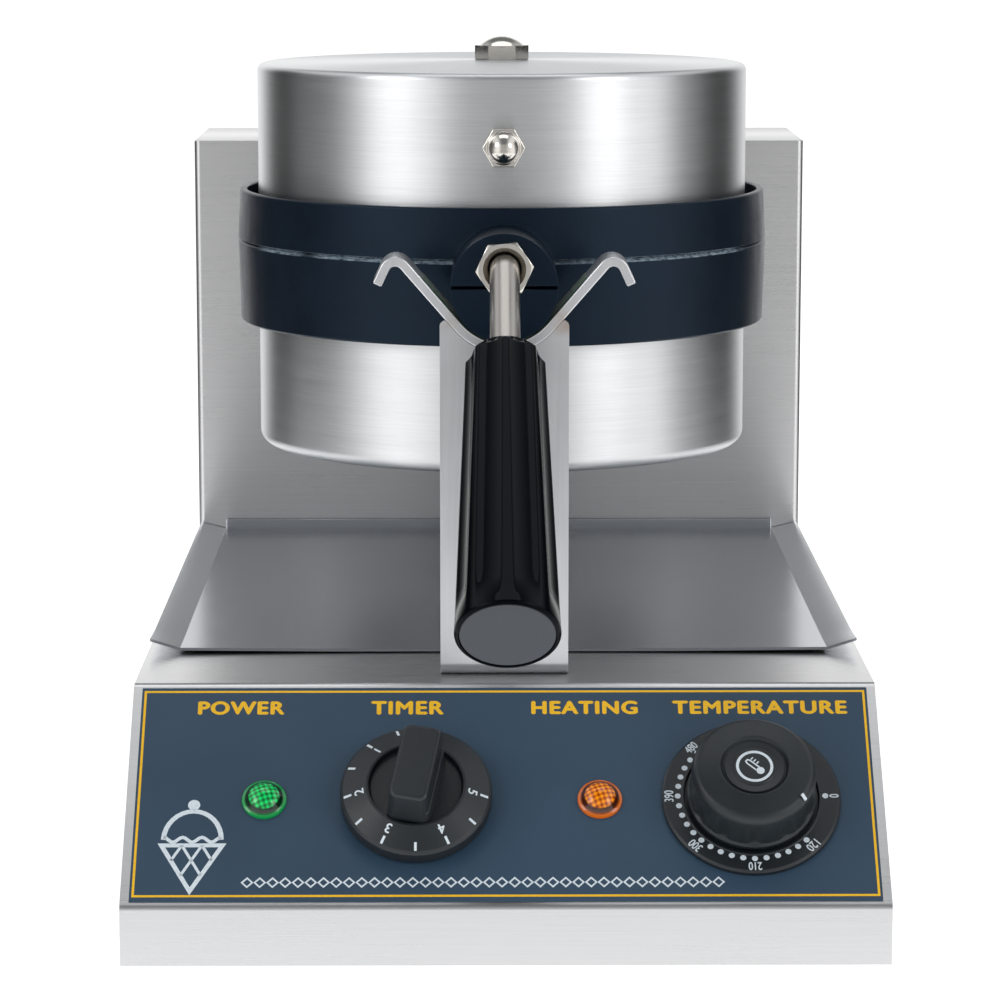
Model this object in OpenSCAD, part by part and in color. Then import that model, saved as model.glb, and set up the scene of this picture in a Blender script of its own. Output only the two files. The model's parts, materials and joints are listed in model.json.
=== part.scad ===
// Rotating waffle cone maker: a sloped control base, a rear column, and a round two-half baking
// head that turns over about a front-to-back axis and opens on a rear hinge.
// Millimetres, +Z up, front towards -Y. Inside the modules, y is counted from the front of the
// lip and z from the underside of the base; placed() moves both to the part's own origin.

/* [Base] */
// Width of the base and the column
base_w = 250; // [240:1:260]
// Height of the upright lip at the front
lip_h = 19.5; // [15:0.5:25]
// Front-to-back run of the sloped control panel
panel_run = 65; // [58:1:72]
// Height of the deck above the underside of the base
deck_h = 79.3; // [72:0.1:86]
// Overall depth of the base
base_d = 445.5; // [438:0.5:455]
// Thickness of the casing sheet
sheet = 1.5; // [1:0.1:2]
// Height of the rubber feet
foot_h = 4; // [3:0.5:6]
// Distance of the feet from the edges of the base
foot_inset = 32; // [25:1:45]

/* [Column] */
// Depth of the column
column_d = 82.5; // [76:0.5:90]
// Height of the column top above the underside of the base
column_h = 242; // [236:1:246]
// Radius of the column's upright edges
column_edge_r = 2.5; // [1:0.5:4]

/* [Baking head] */
// Distance of the head's centre behind the lip
head_y = 204.5; // [202:0.5:207]
// Height of the turning axis above the underside of the base
axis_h = 212; // [208:1:216]
// Radius of the steel shells
shell_r = 89.3; // [87:0.1:90]
// Distance of the shell ends from the turning axis
shell_reach = 69.3; // [66:0.1:72]
// Thickness of the steel shells
shell_t = 1.2; // [0.8:0.1:1.6]
// Largest radius of the moulded rings, at the seam
ring_r = 96.9; // [96:0.1:98]
// Draft of the rings, as the loss of radius at the far edge
ring_draft = 0.9; // [0:0.1:1.5]
// Distance of the rings' far edges from the turning axis
ring_reach = 24; // [22:0.5:26]
// Height of the seam above the turning axis
seam_rise = 6.1; // [5:0.1:7]
// Wall thickness of the rings
ring_wall = 2.6; // [2:0.1:3]
// Radius of the front pivot boss
boss_r = 18.2; // [17:0.1:19]
// Distance of the boss's front face behind the lip
boss_y = 77; // [75:0.5:80]
// Radius of the baking plates
plate_r = 86.5; // [85:0.1:86.8]
// Pitch of the waffle grid
grid_pitch = 14; // [12:0.5:18]

/* [Handle] */
// Radius of the handle rod
rod_r = 5; // [4:0.5:6]
// Height of the rod above the turning axis
rod_rise = 7; // [6:0.5:8]
// Fall of the handle below the horizontal, in degrees
handle_fall = 40; // [35:1:45]
// Distance along the handle from its bend to the grip
grip_start = 40; // [36:1:44]
// Distance along the handle from its bend to its end
grip_end = 156; // [150:1:160]
// Radius of the grip at its narrow end
grip_r1 = 13; // [12:0.5:14]
// Radius of the grip at its wide end
grip_r2 = 16.5; // [15:0.5:18]
// Across-flats size of the handle nut
nut_af = 17; // [16:1:19]

/* [Cradle] */
// Width of the cradle bracket
cradle_w = 43.5; // [42:0.5:46]
// Thickness of the bracket sheet
cradle_t = 2.5; // [2:0.1:3]
// Thickness of the cradle strap
strap_t = 3.2; // [2.5:0.1:3.5]
// Width of the strap, front to back
strap_d = 20; // [16:1:24]
// Slope of the strap's arms above the horizontal, in degrees
arm_slope = 49; // [45:1:52]
// Length of the straight part of each arm
arm_len = 27.5; // [24:0.5:30]

/* [Tray] */
// Distance of the tray's front edge behind the lip
tray_y = 115; // [112:1:125]
// Outer width of the tray
tray_w = 248; // [244:1:249]
// Width of each turned-up side of the tray
tray_side = 10.5; // [8:0.5:14]
// Thickness of the tray sheet
tray_t = 1; // [0.8:0.1:1.2]

/* [Controls] */
// Distance of the controls' centres up the panel
control_s = 41; // [38:0.5:44]
// Place of the power lamp across the panel
power_x = -79.5; // [-82:0.5:-76]
// Place of the timer across the panel
timer_x = -29.4; // [-32:0.1:-27]
// Place of the heating lamp across the panel
heating_x = 31.1; // [29:0.1:33]
// Place of the temperature control across the panel
temperature_x = 81; // [78:0.5:83]
// Radius of the timer knob's skirt
timer_r = 25; // [23:0.5:26]
// Turn of the timer's bar from straight up, in degrees
timer_turn = -10.5; // [-45:0.5:45]
// Radius of the temperature scale ring
scale_r = 29.5; // [28:0.5:30]
// Radius of the temperature knob at its foot
temp_knob_r = 21.5; // [20:0.5:22]

/* [Hidden] */
$fn = 96;

eps = 0.01;
panel_rise = deck_h - lip_h;
panel_tilt = atan2(panel_rise, panel_run);
panel_len = norm([panel_run, panel_rise]);
column_y = base_d - column_d;
overlay_t = 0.4;
overlay_gap = 2.1;

// The head: each half is drawn with z = 0 at the seam and +z away from it
seam_h = axis_h + seam_rise;
upper_len = shell_reach - seam_rise;
lower_len = shell_reach + seam_rise;
upper_ring_h = ring_reach - seam_rise;
lower_ring_h = ring_reach + seam_rise;
flange_h = 5;
flange_r = plate_r + 0.7;
upper_edge_r = 2.5;
lower_edge_r = 4.5;
crown = 1.2;
plate_face = 0.4;
plate_back = 12;
pillar_top = 22;
reflector_t = 1;
stud_r = 4;
fit_gap = 0.05;
acorn_rise = 44.5;
boss_split = 0.5;

// The rear hinge and the turning shaft
hinge_y = head_y + ring_r + 12.6;
hinge_h = axis_h + 8.6;
ear_x = 21;
ear_t = 8;
ear_r = 9.5;
yoke_x = 30;
yoke_back = hinge_y + 24;
shaft_r = 10;
shaft_bore_r = 6;
shaft_flange_t = 6.2;
bush_r = 14;
bush_front = yoke_back + shaft_flange_t + 0.3;
hub_r = 22;
housing_back = column_y + 32;
shaft_end = housing_back + 9;

// The handle
bend_y = 69.5;
nut_t = 8;
grip_len = grip_end - grip_start;
cap_r = grip_r2 - 1.5;

// The cradle
liner_t = 0.4;
liner_gap = 0.3;
strap_r = boss_r + liner_gap + liner_t;
hook_r = 4;
hook_turn = 114;
tip_len = 6;
foot_len = 32;

// The cable gland and the part's outer reach, which set the origin
gland_x = 72;
gland_h = 38;
gland_out = 16;
cable_r = 4.2;
reach_front = bend_y - grip_end * cos(handle_fall) - (grip_r2 - 1) * sin(handle_fall);
reach_back = base_d + gland_out;
centre_y = (reach_front + reach_back) / 2;

// Points of an arc about c, from angle a0 to angle a1
function arc(c, r, a0, a1, n = 6) = [
  for (i = [0 : n])
    c + r * [cos(a0 + (a1 - a0) * i / n), sin(a0 + (a1 - a0) * i / n)]
];

// Direction of a 2-D vector, in degrees
function heading(v) = atan2(v[1], v[0]);

// Points that round corner b of the path a-b-c with radius r
function rounded_corner(a, b, c, r, n = 6) =
  let (
    u = (a - b) / norm(a - b),
    w = (c - b) / norm(c - b),
    half = acos(u * w) / 2,
    mid = (u + w) / norm(u + w),
    centre = b + mid * r / sin(half),
    h0 = heading(b + u * r / tan(half) - centre),
    h1 = heading(b + w * r / tan(half) - centre),
    turn = h1 - h0 > 180 ? h1 - h0 - 360 : h1 - h0 < -180 ? h1 - h0 + 360 : h1 - h0
  )
  arc(centre, r, h0, h0 + turn, n);

// A closed outline with corner i rounded by radii[i]
function rounded(points, radii) =
  let (n = len(points))
  [
    for (i = [0 : n - 1])
      for (p = radii[i] > 0
        ? rounded_corner(points[(i + n - 1) % n], points[i], points[(i + 1) % n], radii[i])
        : [points[i]])
        p
  ];

// Side outline of the base, inset by t, as [y, z] points
function base_outline(t) = [
  [t, 0],
  [t, lip_h - t * cos(panel_tilt) + t * (1 - sin(panel_tilt)) * tan(panel_tilt)],
  [
    t * sin(panel_tilt) + (panel_rise - t + t * cos(panel_tilt)) / tan(panel_tilt),
    deck_h - t
  ],
  [base_d - t, deck_h - t],
  [base_d - t, 0]
];

module placed() {
  translate([0, -centre_y, foot_h]) children();
}

// Stands its children on the sloped panel: local y runs up the slope, local z outwards
module on_panel(x) {
  translate([x, control_s * cos(panel_tilt), lip_h + control_s * sin(panel_tilt)])
    rotate([panel_tilt, 0, 0])
      children();
}

// Lays local z along +Y, starting at depth y and height z
module along_y(y, z, x = 0) {
  translate([x, y, z]) rotate([-90, 0, 0]) children();
}

// Extrudes a [y, z] outline over a width centred on x = 0
module across_x(width) {
  translate([-width / 2, 0, 0])
    rotate([90, 0, 90])
      linear_extrude(height = width)
        children();
}

module tube(r_out, r_in, h) {
  difference() {
    cylinder(r = r_out, h = h);
    translate([0, 0, -1]) cylinder(r = r_in, h = h + 2);
  }
}

module hex_prism(af, h) {
  cylinder(d = af / cos(30), h = h, $fn = 6);
}

module pan_screw(head_r, head_t, shank_r, shank_l) {
  cylinder(r = head_r, h = head_t);
  translate([0, 0, -shank_l]) cylinder(r = shank_r, h = shank_l);
}

module upper_half() {
  translate([0, head_y, seam_h]) children();
}

module lower_half() {
  translate([0, head_y, seam_h]) mirror([0, 0, 1]) children();
}

module at_feet() {
  for (x = [-1, 1])
    for (y = [foot_inset, base_d - foot_inset])
      translate([x * (base_w / 2 - foot_inset), y, 0])
        children();
}

/* ---- base ---- */

module base_shell() {
  color("silver") placed() difference() {
    across_x(base_w)
      polygon(rounded(base_outline(0), [0, 2.5, 3.5, 2, 0]));
    translate([0, 0, -eps])
      across_x(base_w - 2 * sheet)
        polygon(rounded(base_outline(sheet), [0, 1, 2, 0.5, 0]));
    for (x = [power_x, heating_x])
      on_panel(x) translate([0, 0, -5]) cylinder(r = 6.2, h = 10);
    for (x = [timer_x, temperature_x])
      on_panel(x) translate([0, 0, -5]) cylinder(r = 5, h = 10);
    for (x = [-1, 1])
      translate([x * bracket_screw_x(), bracket_screw_y(), deck_h - 5])
        cylinder(r = 2.1, h = 10);
    translate([-80, column_y + 18, deck_h - 5]) cube([160, 40, 10]);
    along_y(base_d - 5, gland_h, gland_x) cylinder(r = 8, h = 10);
  }
}

function bracket_screw_x() = cradle_w / 2 - 10;
function bracket_screw_y() = boss_y + 20;

module bottom_plate() {
  width = base_w - 2 * sheet - 0.4;
  depth = base_d - 2 * sheet - 0.4;
  color("gainsboro") placed() difference() {
    translate([-width / 2, sheet + 0.2, 0]) cube([width, depth, sheet]);
    at_feet() translate([0, 0, -1]) cylinder(r = 2.2, h = 5);
    for (x = [-1, 1])
      for (i = [0 : 7])
        translate([x * 45 - 25, 130 + 14 * i, -1]) cube([50, 5, 5]);
  }
}

module rubber_feet() {
  color("dimgray") placed() at_feet() rotate_extrude()
    polygon([
      [2.2, 0], [2.2, 2 - foot_h], [5, 2 - foot_h], [5, -foot_h],
      [9, -foot_h], [10, 1 - foot_h], [10, 0]
    ]);
}

module foot_screws() {
  color("silver") placed() at_feet() {
    translate([0, 0, 2 - foot_h]) rotate([180, 0, 0]) pan_screw(4, 1.4, 2, foot_h + 4);
    translate([0, 0, sheet]) difference() {
      hex_prism(7, 3);
      translate([0, 0, -1]) cylinder(r = 2, h = 5);
    }
  }
}

module control_overlay() {
  width = base_w - 2 * 3;
  length = panel_len - 2 * overlay_gap;
  color("slategray") placed() difference() {
    translate([0, 0, lip_h]) rotate([panel_tilt, 0, 0])
      translate([-width / 2, overlay_gap, 0])
        cube([width, length, overlay_t]);
    for (x = [power_x, heating_x])
      on_panel(x) translate([0, 0, -1]) cylinder(r = 6.2, h = 5);
    for (x = [timer_x, temperature_x])
      on_panel(x) translate([0, 0, -1]) cylinder(r = 5, h = 5);
  }
}

// A pilot lamp's domed lens with its flange on the overlay
module lamp_lens(x) {
  on_panel(x) translate([0, 0, overlay_t]) rotate_extrude()
    polygon(concat(
      [[0, 0], [7.3, 0], [7.3, 0.9]],
      arc([0, -2.5], 7.4, 30, 90, 8)
    ));
}

// A pilot lamp's holder behind the panel, with two blade terminals
module lamp_body(x) {
  on_panel(x) {
    translate([0, 0, -22]) cylinder(r = 6, h = 22 + overlay_t);
    translate([0, 0, -6]) tube(9, 6, 4);
    for (side = [-1, 1])
      translate([side * 3 - 0.4, -2.4, -30]) cube([0.8, 4.8, 8]);
  }
}

module power_lamp_lens() {
  color("limegreen") placed() lamp_lens(power_x);
}

module power_lamp_body() {
  color("ivory") placed() lamp_body(power_x);
}

module heating_lamp_lens() {
  color("orange") placed() lamp_lens(heating_x);
}

module heating_lamp_body() {
  color("ivory") placed() lamp_body(heating_x);
}

module timer_mechanism() {
  color("ivory") placed() on_panel(timer_x) difference() {
    union() {
      translate([-21, -21, -32]) cube([42, 42, 32 - sheet - fit_gap]);
      translate([0, 0, -sheet]) cylinder(r = 4.8, h = sheet + overlay_t);
    }
    translate([0, 0, -20]) cylinder(r = 3 + fit_gap, h = 30);
  }
}

module temperature_ring() {
  color("darkslategray") placed() on_panel(temperature_x) translate([0, 0, overlay_t])
    rotate_extrude()
      polygon([[6, 0], [scale_r, 0], [scale_r, 1.4], [scale_r - 0.8, 2.2], [6, 2.2]]);
}

module thermostat_body() {
  color("gainsboro") placed() on_panel(temperature_x) difference() {
    union() {
      translate([-17, -16, -24]) cube([34, 32, 24 - sheet - fit_gap]);
      translate([0, 0, -sheet]) cylinder(r = 4.8, h = sheet + overlay_t);
    }
    translate([0, 0, -14]) cylinder(r = 3 + fit_gap, h = 30);
  }
}

module terminal_block() {
  color("ivory") placed() translate([-30, 395, sheet]) difference() {
    cube([60, 20, 18]);
    for (i = [0 : 4])
      translate([8 + 11 * i, 10, 10]) cylinder(r = 3, h = 10);
  }
}

module cable_gland() {
  color("dimgray") placed() along_y(base_d, gland_h, gland_x) difference() {
    union() {
      translate([0, 0, -8]) cylinder(r = 7.8, h = 10);
      translate([0, 0, -6]) hex_prism(20, 6 - sheet);
      hex_prism(20, 5);
      translate([0, 0, 5 - eps]) cylinder(r = 9, h = 6);
      translate([0, 0, 11 - 2 * eps]) cylinder(r1 = 9, r2 = 6.2, h = gland_out - 11 + 2 * eps);
    }
    translate([0, 0, -10]) cylinder(r = cable_r, h = 30);
  }
}

/* ---- cradle ---- */

// One side of a bent strip about the turning axis, offset by side from its middle line: a round
// bottom at radius mid, a straight arm and, where hook > 0, an end rolled over by that angle
function strip_side(mid, arm, hook, tip, side) =
  let (
    foot = mid * [sin(arm_slope), -cos(arm_slope)],
    crest = foot + arm * [cos(arm_slope), sin(arm_slope)],
    centre = crest + hook_r * [sin(arm_slope), -cos(arm_slope)],
    last = arm_slope - hook
  )
  concat(
    arc([0, 0], mid - side, -90, arm_slope - 90, 12),
    arc(centre, hook_r + side, arm_slope + 90, last + 90, hook > 0 ? 12 : 1),
    tip > 0
      ? [centre + (hook_r + side) * [-sin(last), cos(last)] + tip * [cos(last), sin(last)]]
      : []
  );

function reversed(points) = [for (i = [len(points) - 1 : -1 : 0]) points[i]];

function mirrored(points) = [for (p = points) [-p[0], p[1]]];

// The whole strip, t thick and d wide, from one hook to the other
module bent_strip(mid, t, d, arm, hook, tip) {
  inner = strip_side(mid, arm, hook, tip, t / 2);
  outer = strip_side(mid, arm, hook, tip, -t / 2);
  translate([0, d, 0]) rotate([90, 0, 0]) linear_extrude(height = d)
    polygon(concat(reversed(mirrored(inner)), inner, reversed(outer), mirrored(outer)));
}

module cradle_strap() {
  color("silver") placed() translate([0, boss_y, axis_h])
    bent_strip(strap_r + strap_t / 2, strap_t, strap_d, arm_len, hook_turn, tip_len);
}

module cradle_liner() {
  inset = 2.5;
  color("darkgreen") placed() translate([0, boss_y + inset, axis_h])
    bent_strip(strap_r - liner_t / 2, liner_t, strap_d - 2 * inset, arm_len - 7, 0, 0);
}

module cradle_bracket() {
  top = axis_h - 11;
  corner_r = 2;
  under = strip_side(strap_r + strap_t / 2, arm_len, 0, 0, -strap_t / 2);
  color("silver") placed() difference() {
    across_x(cradle_w)
      polygon(concat(
        [[boss_y, top], [boss_y + cradle_t, top]],
        arc([boss_y + cradle_t + 2, deck_h + cradle_t + 2], 2, 180, 270),
        [[boss_y + foot_len, deck_h + cradle_t], [boss_y + foot_len, deck_h]],
        arc([boss_y + cradle_t + 2, deck_h + cradle_t + 2], cradle_t + 2, 270, 180)
      ));
    translate([0, boss_y + 5, axis_h]) rotate([90, 0, 0]) linear_extrude(height = 6)
      polygon(concat(reversed(mirrored(under)), under));
    for (side = [-1, 1])
      translate([side * (cradle_w / 2 - corner_r), boss_y - 1, top - corner_r]) rotate([-90, 0, 0])
        difference() {
          translate([side > 0 ? 0 : -4, -4, 0]) cube([4, 4, 6]);
          translate([0, 0, -1]) cylinder(r = corner_r, h = 8);
        }
    for (side = [-1, 1])
      translate([side * bracket_screw_x(), bracket_screw_y(), deck_h - 1])
        cylinder(r = 2.2, h = 6);
  }
}

module bracket_screws() {
  color("silver") placed()
    for (side = [-1, 1])
      translate([side * bracket_screw_x(), bracket_screw_y(), deck_h + cradle_t])
        pan_screw(4, 2.2, 2, 12);
}

/* ---- column ---- */

module column_outline(t) {
  w = base_w / 2 - t;
  r = column_edge_r - t > 0.3 ? column_edge_r - t : 0.3;
  polygon(rounded(
    [[-w, column_y + t], [w, column_y + t], [w, base_d], [-w, base_d]],
    [r, r, 0, 0]
  ));
}

module column_shell() {
  color("silver") placed() difference() {
    translate([0, 0, deck_h + eps]) linear_extrude(height = column_h - deck_h) column_outline(0);
    translate([0, 0, deck_h - 1])
      linear_extrude(height = column_h - deck_h + 1 - sheet)
        column_outline(sheet);
    translate([-base_w / 2 + sheet, base_d - 5, deck_h - 1])
      cube([base_w - 2 * sheet, 10, column_h - deck_h + 1 - sheet]);
    along_y(column_y - 5, axis_h) cylinder(r = hub_r + 0.2, h = 10);
  }
}

module column_back_cover() {
  width = base_w - 2 * sheet - 0.6;
  height = column_h - deck_h - sheet - 0.6;
  color("silver") placed() difference() {
    translate([-width / 2, base_d - 12, deck_h + 0.3]) difference() {
      cube([width, 12, height]);
      translate([sheet, -1, sheet]) cube([width - 2 * sheet, 13 - sheet, height - 2 * sheet]);
    }
    for (i = [0 : 7])
      translate([-60, base_d - 5, deck_h + 60 + 10 * i]) cube([120, 10, 4]);
    at_cover_screws() cylinder(r = 1.6, h = 10, center = true);
  }
}

module at_cover_screws() {
  for (x = [-1, 1])
    for (z = [20, 80, 140])
      along_y(base_d, deck_h + z, x * (base_w / 2 - 14)) children();
}

module back_cover_screws() {
  color("silver") placed() at_cover_screws() pan_screw(3.2, 1.8, 1.5, 8);
}

/* ---- turning shaft ---- */

module bearing_housing() {
  color("gray") placed() difference() {
    union() {
      along_y(bush_front + 2.5, axis_h) cylinder(r = hub_r, h = housing_back - bush_front - 2.5);
      along_y(column_y - 5, axis_h) cylinder(r = 34, h = 5);
    }
    along_y(bush_front - 5, axis_h) cylinder(r = bush_r, h = 100);
    at_housing_screws() cylinder(r = 2.6, h = 20, center = true);
  }
}

module at_housing_screws() {
  for (a = [45 : 90 : 315])
    along_y(column_y - 5, axis_h) rotate([0, 0, a]) translate([28, 0, 0]) children();
}

module bearing_screws() {
  color("silver") placed() at_housing_screws() mirror([0, 0, 1]) pan_screw(4.4, 2.6, 2.5, 5);
}

module bearing_bush() {
  color("darkgoldenrod") placed() along_y(bush_front, axis_h) difference() {
    union() {
      cylinder(r = 18, h = 2.5);
      cylinder(r = bush_r, h = housing_back - bush_front);
    }
    translate([0, 0, -1]) cylinder(r = shaft_r + fit_gap, h = 100);
  }
}

module pivot_shaft() {
  color("gray") placed() along_y(yoke_back, axis_h) difference() {
    union() {
      cylinder(r = 16, h = shaft_flange_t);
      cylinder(r = shaft_r, h = shaft_end - yoke_back);
    }
    translate([0, 0, -1]) cylinder(r = shaft_bore_r, h = 200);
  }
}

module shaft_collar() {
  color("dimgray") placed() along_y(housing_back + 0.5, axis_h) difference() {
    tube(17, shaft_r, 8);
    translate([0, 0, 4]) rotate([0, 90, 0]) cylinder(r = 2, h = 30);
  }
}

module hinge_yoke() {
  color("gray") placed() difference() {
    union() {
      translate([-yoke_x, head_y + ring_r - 20, axis_h - 20])
        cube([2 * yoke_x, yoke_back - head_y - ring_r + 20, 17]);
      translate([-hub_r, yoke_back - 10, axis_h - 20]) cube([2 * hub_r, 10, 38]);
      for (side = [-1, 1])
        translate([side * (ear_x + ear_t / 2), hinge_y, 0]) {
          translate([-ear_t / 2, 0, hinge_h]) rotate([0, 90, 0]) cylinder(r = ear_r, h = ear_t);
          translate([-ear_t / 2, -ear_r, axis_h - 10]) cube([ear_t, 2 * ear_r, 10 + 8.6]);
        }
    }
    translate([0, head_y, axis_h - 40]) cylinder(r = ring_r + 0.1, h = 60);
    translate([-50, hinge_y, hinge_h]) rotate([0, 90, 0]) cylinder(r = stud_r, h = 100);
    along_y(yoke_back - 40, axis_h) cylinder(r = shaft_bore_r, h = 50);
    at_yoke_screws() translate([0, 0, -1]) cylinder(r = 2 + fit_gap, h = 2);
  }
}

module at_yoke_screws() {
  for (x = [-1, 1])
    for (z = [-15, -8])
      along_y(yoke_back, axis_h + z, x * 26) children();
}

module yoke_screws() {
  color("silver") placed() at_yoke_screws() pan_screw(3.4, 2.4, 2, 0.5);
}

module hinge_pin() {
  color("silver") placed() translate([0, hinge_y, hinge_h]) rotate([0, 90, 0]) {
    half = ear_x + ear_t;
    translate([0, 0, -half]) cylinder(r = stud_r, h = 2 * half);
    for (side = [-1, 1])
      translate([0, 0, side * (half + 1)]) cylinder(r = 5.5, h = 2, center = true);
  }
}

module hinge_leaf() {
  color("gray") placed() difference() {
    union() {
      translate([-ear_x + 0.5, hinge_y, hinge_h])
        rotate([0, 90, 0]) cylinder(r = 9, h = 2 * ear_x - 1);
      translate([-ear_x + 0.5, head_y + ring_r - 15, seam_h + 0.6])
        cube([2 * ear_x - 1, 27.6, 13]);
    }
    translate([0, head_y, seam_h - 20]) cylinder(r = ring_r + 0.1, h = 60);
    translate([-50, hinge_y, hinge_h]) rotate([0, 90, 0])
      cylinder(r = stud_r + fit_gap, h = 100);
  }
}

/* ---- halves of the head ---- */

// A spun steel cup over one half, with its closed end at z = length
module head_shell(length, edge_r) {
  r = shell_r;
  t = shell_t;
  rotate_extrude($fn = 128)
    polygon(concat(
      [[r - t, flange_h], [r, flange_h]],
      arc([r - edge_r, length - edge_r], edge_r, 0, 85),
      [[stud_r + 0.2, length + crown], [stud_r + 0.2, length + crown - t]],
      arc([r - edge_r, length - edge_r], edge_r - t, 85, 0)
    ));
}

// A moulded ring: a drafted outer wall with an inward flange at the seam
module head_ring(height, chamfer) {
  outer = ring_r - ring_draft;
  rotate_extrude($fn = 128)
    polygon([
      [flange_r, 0], [ring_r - chamfer, 0], [ring_r, chamfer],
      [outer, height - 0.6], [outer - 0.6, height], [outer - ring_wall + 0.4, height],
      [outer - ring_wall, height - 0.4], [ring_r - ring_wall, flange_h], [flange_r, flange_h]
    ]);
}

// Half of the front pivot boss, from its front face back to the ring's wall
module half_boss() {
  difference() {
    along_y(boss_y, axis_h) cylinder(r = boss_r, h = head_y - boss_y);
    translate([0, head_y, 0]) cylinder(r = ring_r - ring_draft - ring_wall / 2, h = axis_h * 2);
  }
}

module waffle_grid() {
  n = floor(plate_r / grid_pitch);
  intersection() {
    translate([0, 0, plate_face + 0.5]) cylinder(r = plate_r - 6, h = 1.2);
    rotate([0, 0, 45])
      for (i = [-n : n]) {
        translate([i * grid_pitch - 0.7, -100, plate_face]) cube([1.4, 200, 3]);
        translate([-100, i * grid_pitch - 0.7, plate_face]) cube([200, 1.4, 3]);
      }
  }
}

// A cast baking plate with a rim, a shallow diamond grid and pillars behind it
module head_plate() {
  difference() {
    union() {
      translate([0, 0, plate_face + 1.5]) cylinder(r = plate_r, h = plate_back - plate_face - 1.5);
      translate([0, 0, plate_face]) tube(plate_r, plate_r - 6.5, 1.6);
      waffle_grid();
      translate([0, 0, plate_back - eps]) cylinder(r = 9, h = pillar_top - plate_back);
      for (a = [0 : 90 : 270])
        rotate([0, 0, a + 45]) translate([40, 0, plate_back - eps])
          cylinder(r = 5, h = pillar_top - plate_back);
    }
    translate([0, 0, 6]) cylinder(r = stud_r, h = 30);
  }
}

// A tubular heater ring on the back of the plate, with its terminal block and two pins
module head_heater() {
  tube_r = 3.5;
  ring_at = 62;
  rotate_extrude() translate([ring_at, plate_back + tube_r]) circle(r = tube_r, $fn = 32);
  translate([ring_at - 5, -8, plate_back + 0.2]) cube([10, 16, 8.3]);
  for (y = [-4, 4])
    translate([ring_at, y, plate_back + 8]) cylinder(r = 1.5, h = 1.6);
}

module head_reflector() {
  translate([0, 0, pillar_top]) difference() {
    cylinder(r = shell_r - 5, h = reflector_t);
    translate([0, 0, -1]) cylinder(r = stud_r + 0.3, h = 5);
  }
}

module head_insulation(length) {
  translate([0, 0, pillar_top + reflector_t])
    tube(shell_r - 4, stud_r + 1.5, length - pillar_top - reflector_t - 4);
}

module head_stud(length) {
  translate([0, 0, 7]) cylinder(r = stud_r, h = length - 7 + 6);
}

// A low domed hex nut that closes the end of a stud
module cap_nut(length) {
  difference() {
    translate([0, 0, length + crown]) {
      hex_prism(nut_af, 5);
      rotate_extrude() polygon(concat([[0, 4.5], [8.3, 4.5]], arc([0, -3.2], 11.6, 42, 90, 8)));
    }
    translate([0, 0, length - 2]) cylinder(r = stud_r, h = 8);
  }
}

// An acorn nut on the front of a shell, at height rise on the shell's side
module acorn_nut(rise) {
  difference() {
    translate([0, -shell_r + 0.6, rise]) rotate([90, 0, 0]) {
      hex_prism(13, 7);
      rotate_extrude() polygon(concat([[0, 6], [5.6, 6]], arc([0, 7], 5.6, 0, 90, 10)));
    }
    translate([0, 0, rise - 20]) cylinder(r = shell_r + fit_gap, h = 40);
  }
}

module lower_shell() {
  color("silver") placed() lower_half() head_shell(lower_len, lower_edge_r);
}

module lower_ring() {
  color("midnightblue") placed() {
    lower_half() head_ring(lower_ring_h, 1.2);
    intersection() {
      half_boss();
      translate([-50, 0, axis_h - boss_split - 50]) cube([100, head_y, 50]);
    }
  }
}

module lower_plate() {
  color("gray") placed() lower_half() head_plate();
}

module lower_heater() {
  color("dimgray") placed() lower_half() head_heater();
}

module lower_reflector() {
  color("silver") placed() lower_half() head_reflector();
}

module lower_insulation() {
  color("wheat") placed() lower_half() head_insulation(lower_len);
}

module lower_stud() {
  color("silver") placed() lower_half() head_stud(lower_len);
}

module lower_cap_nut() {
  color("silver") placed() lower_half() cap_nut(lower_len);
}

module lower_acorn_nut() {
  color("silver") placed() lower_half() acorn_nut(acorn_rise + seam_rise);
}

module thermostat_bulb() {
  color("peru") placed() lower_half()
    translate([0, 40, plate_back + 3]) rotate([0, 90, 0]) cylinder(r = 2.9, h = 40, center = true);
}

module upper_shell() {
  color("silver") placed() upper_half() head_shell(upper_len, upper_edge_r);
}

// The half boss of the upper ring hangs past the seam, clear of the lower ring's wall
module upper_ring() {
  color("midnightblue") placed() difference() {
    union() {
      upper_half() head_ring(upper_ring_h, 0);
      intersection() {
        half_boss();
        translate([-50, 0, axis_h + boss_split]) cube([100, head_y, 50]);
      }
    }
    translate([0, head_y, axis_h]) cylinder(r = ring_r + 0.5, h = seam_rise);
    along_y(boss_y - 1, axis_h + rod_rise) cylinder(r = rod_r, h = 26);
  }
}

module upper_plate() {
  color("gray") placed() upper_half() head_plate();
}

module upper_heater() {
  color("dimgray") placed() upper_half() head_heater();
}

module upper_reflector() {
  color("silver") placed() upper_half() head_reflector();
}

module upper_insulation() {
  color("wheat") placed() upper_half() head_insulation(upper_len);
}

module upper_stud() {
  color("silver") placed() upper_half() head_stud(upper_len);
}

module upper_cap_nut() {
  color("silver") placed() upper_half() cap_nut(upper_len);
}

module upper_acorn_nut() {
  color("silver") placed() upper_half() acorn_nut(acorn_rise - seam_rise);
}

/* ---- handle ---- */

// Local z runs down the handle from its bend
module down_handle() {
  translate([0, bend_y, axis_h + rod_rise]) rotate([90 + handle_fall, 0, 0]) children();
}

// The rod leaves the boss level and bends down just in front of the nut, where a ball a little
// thicker than the rod joins its two straight lengths
module handle_rod() {
  ball_r = rod_r + 0.45;
  clear = 2;
  color("silver") placed() {
    along_y(bend_y + clear, axis_h + rod_rise) cylinder(r = rod_r, h = boss_y + 25 - bend_y - clear);
    down_handle() {
      translate([0, 0, clear]) cylinder(r = rod_r, h = grip_end - 16 - clear);
      sphere(r = ball_r);
    }
  }
}

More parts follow.
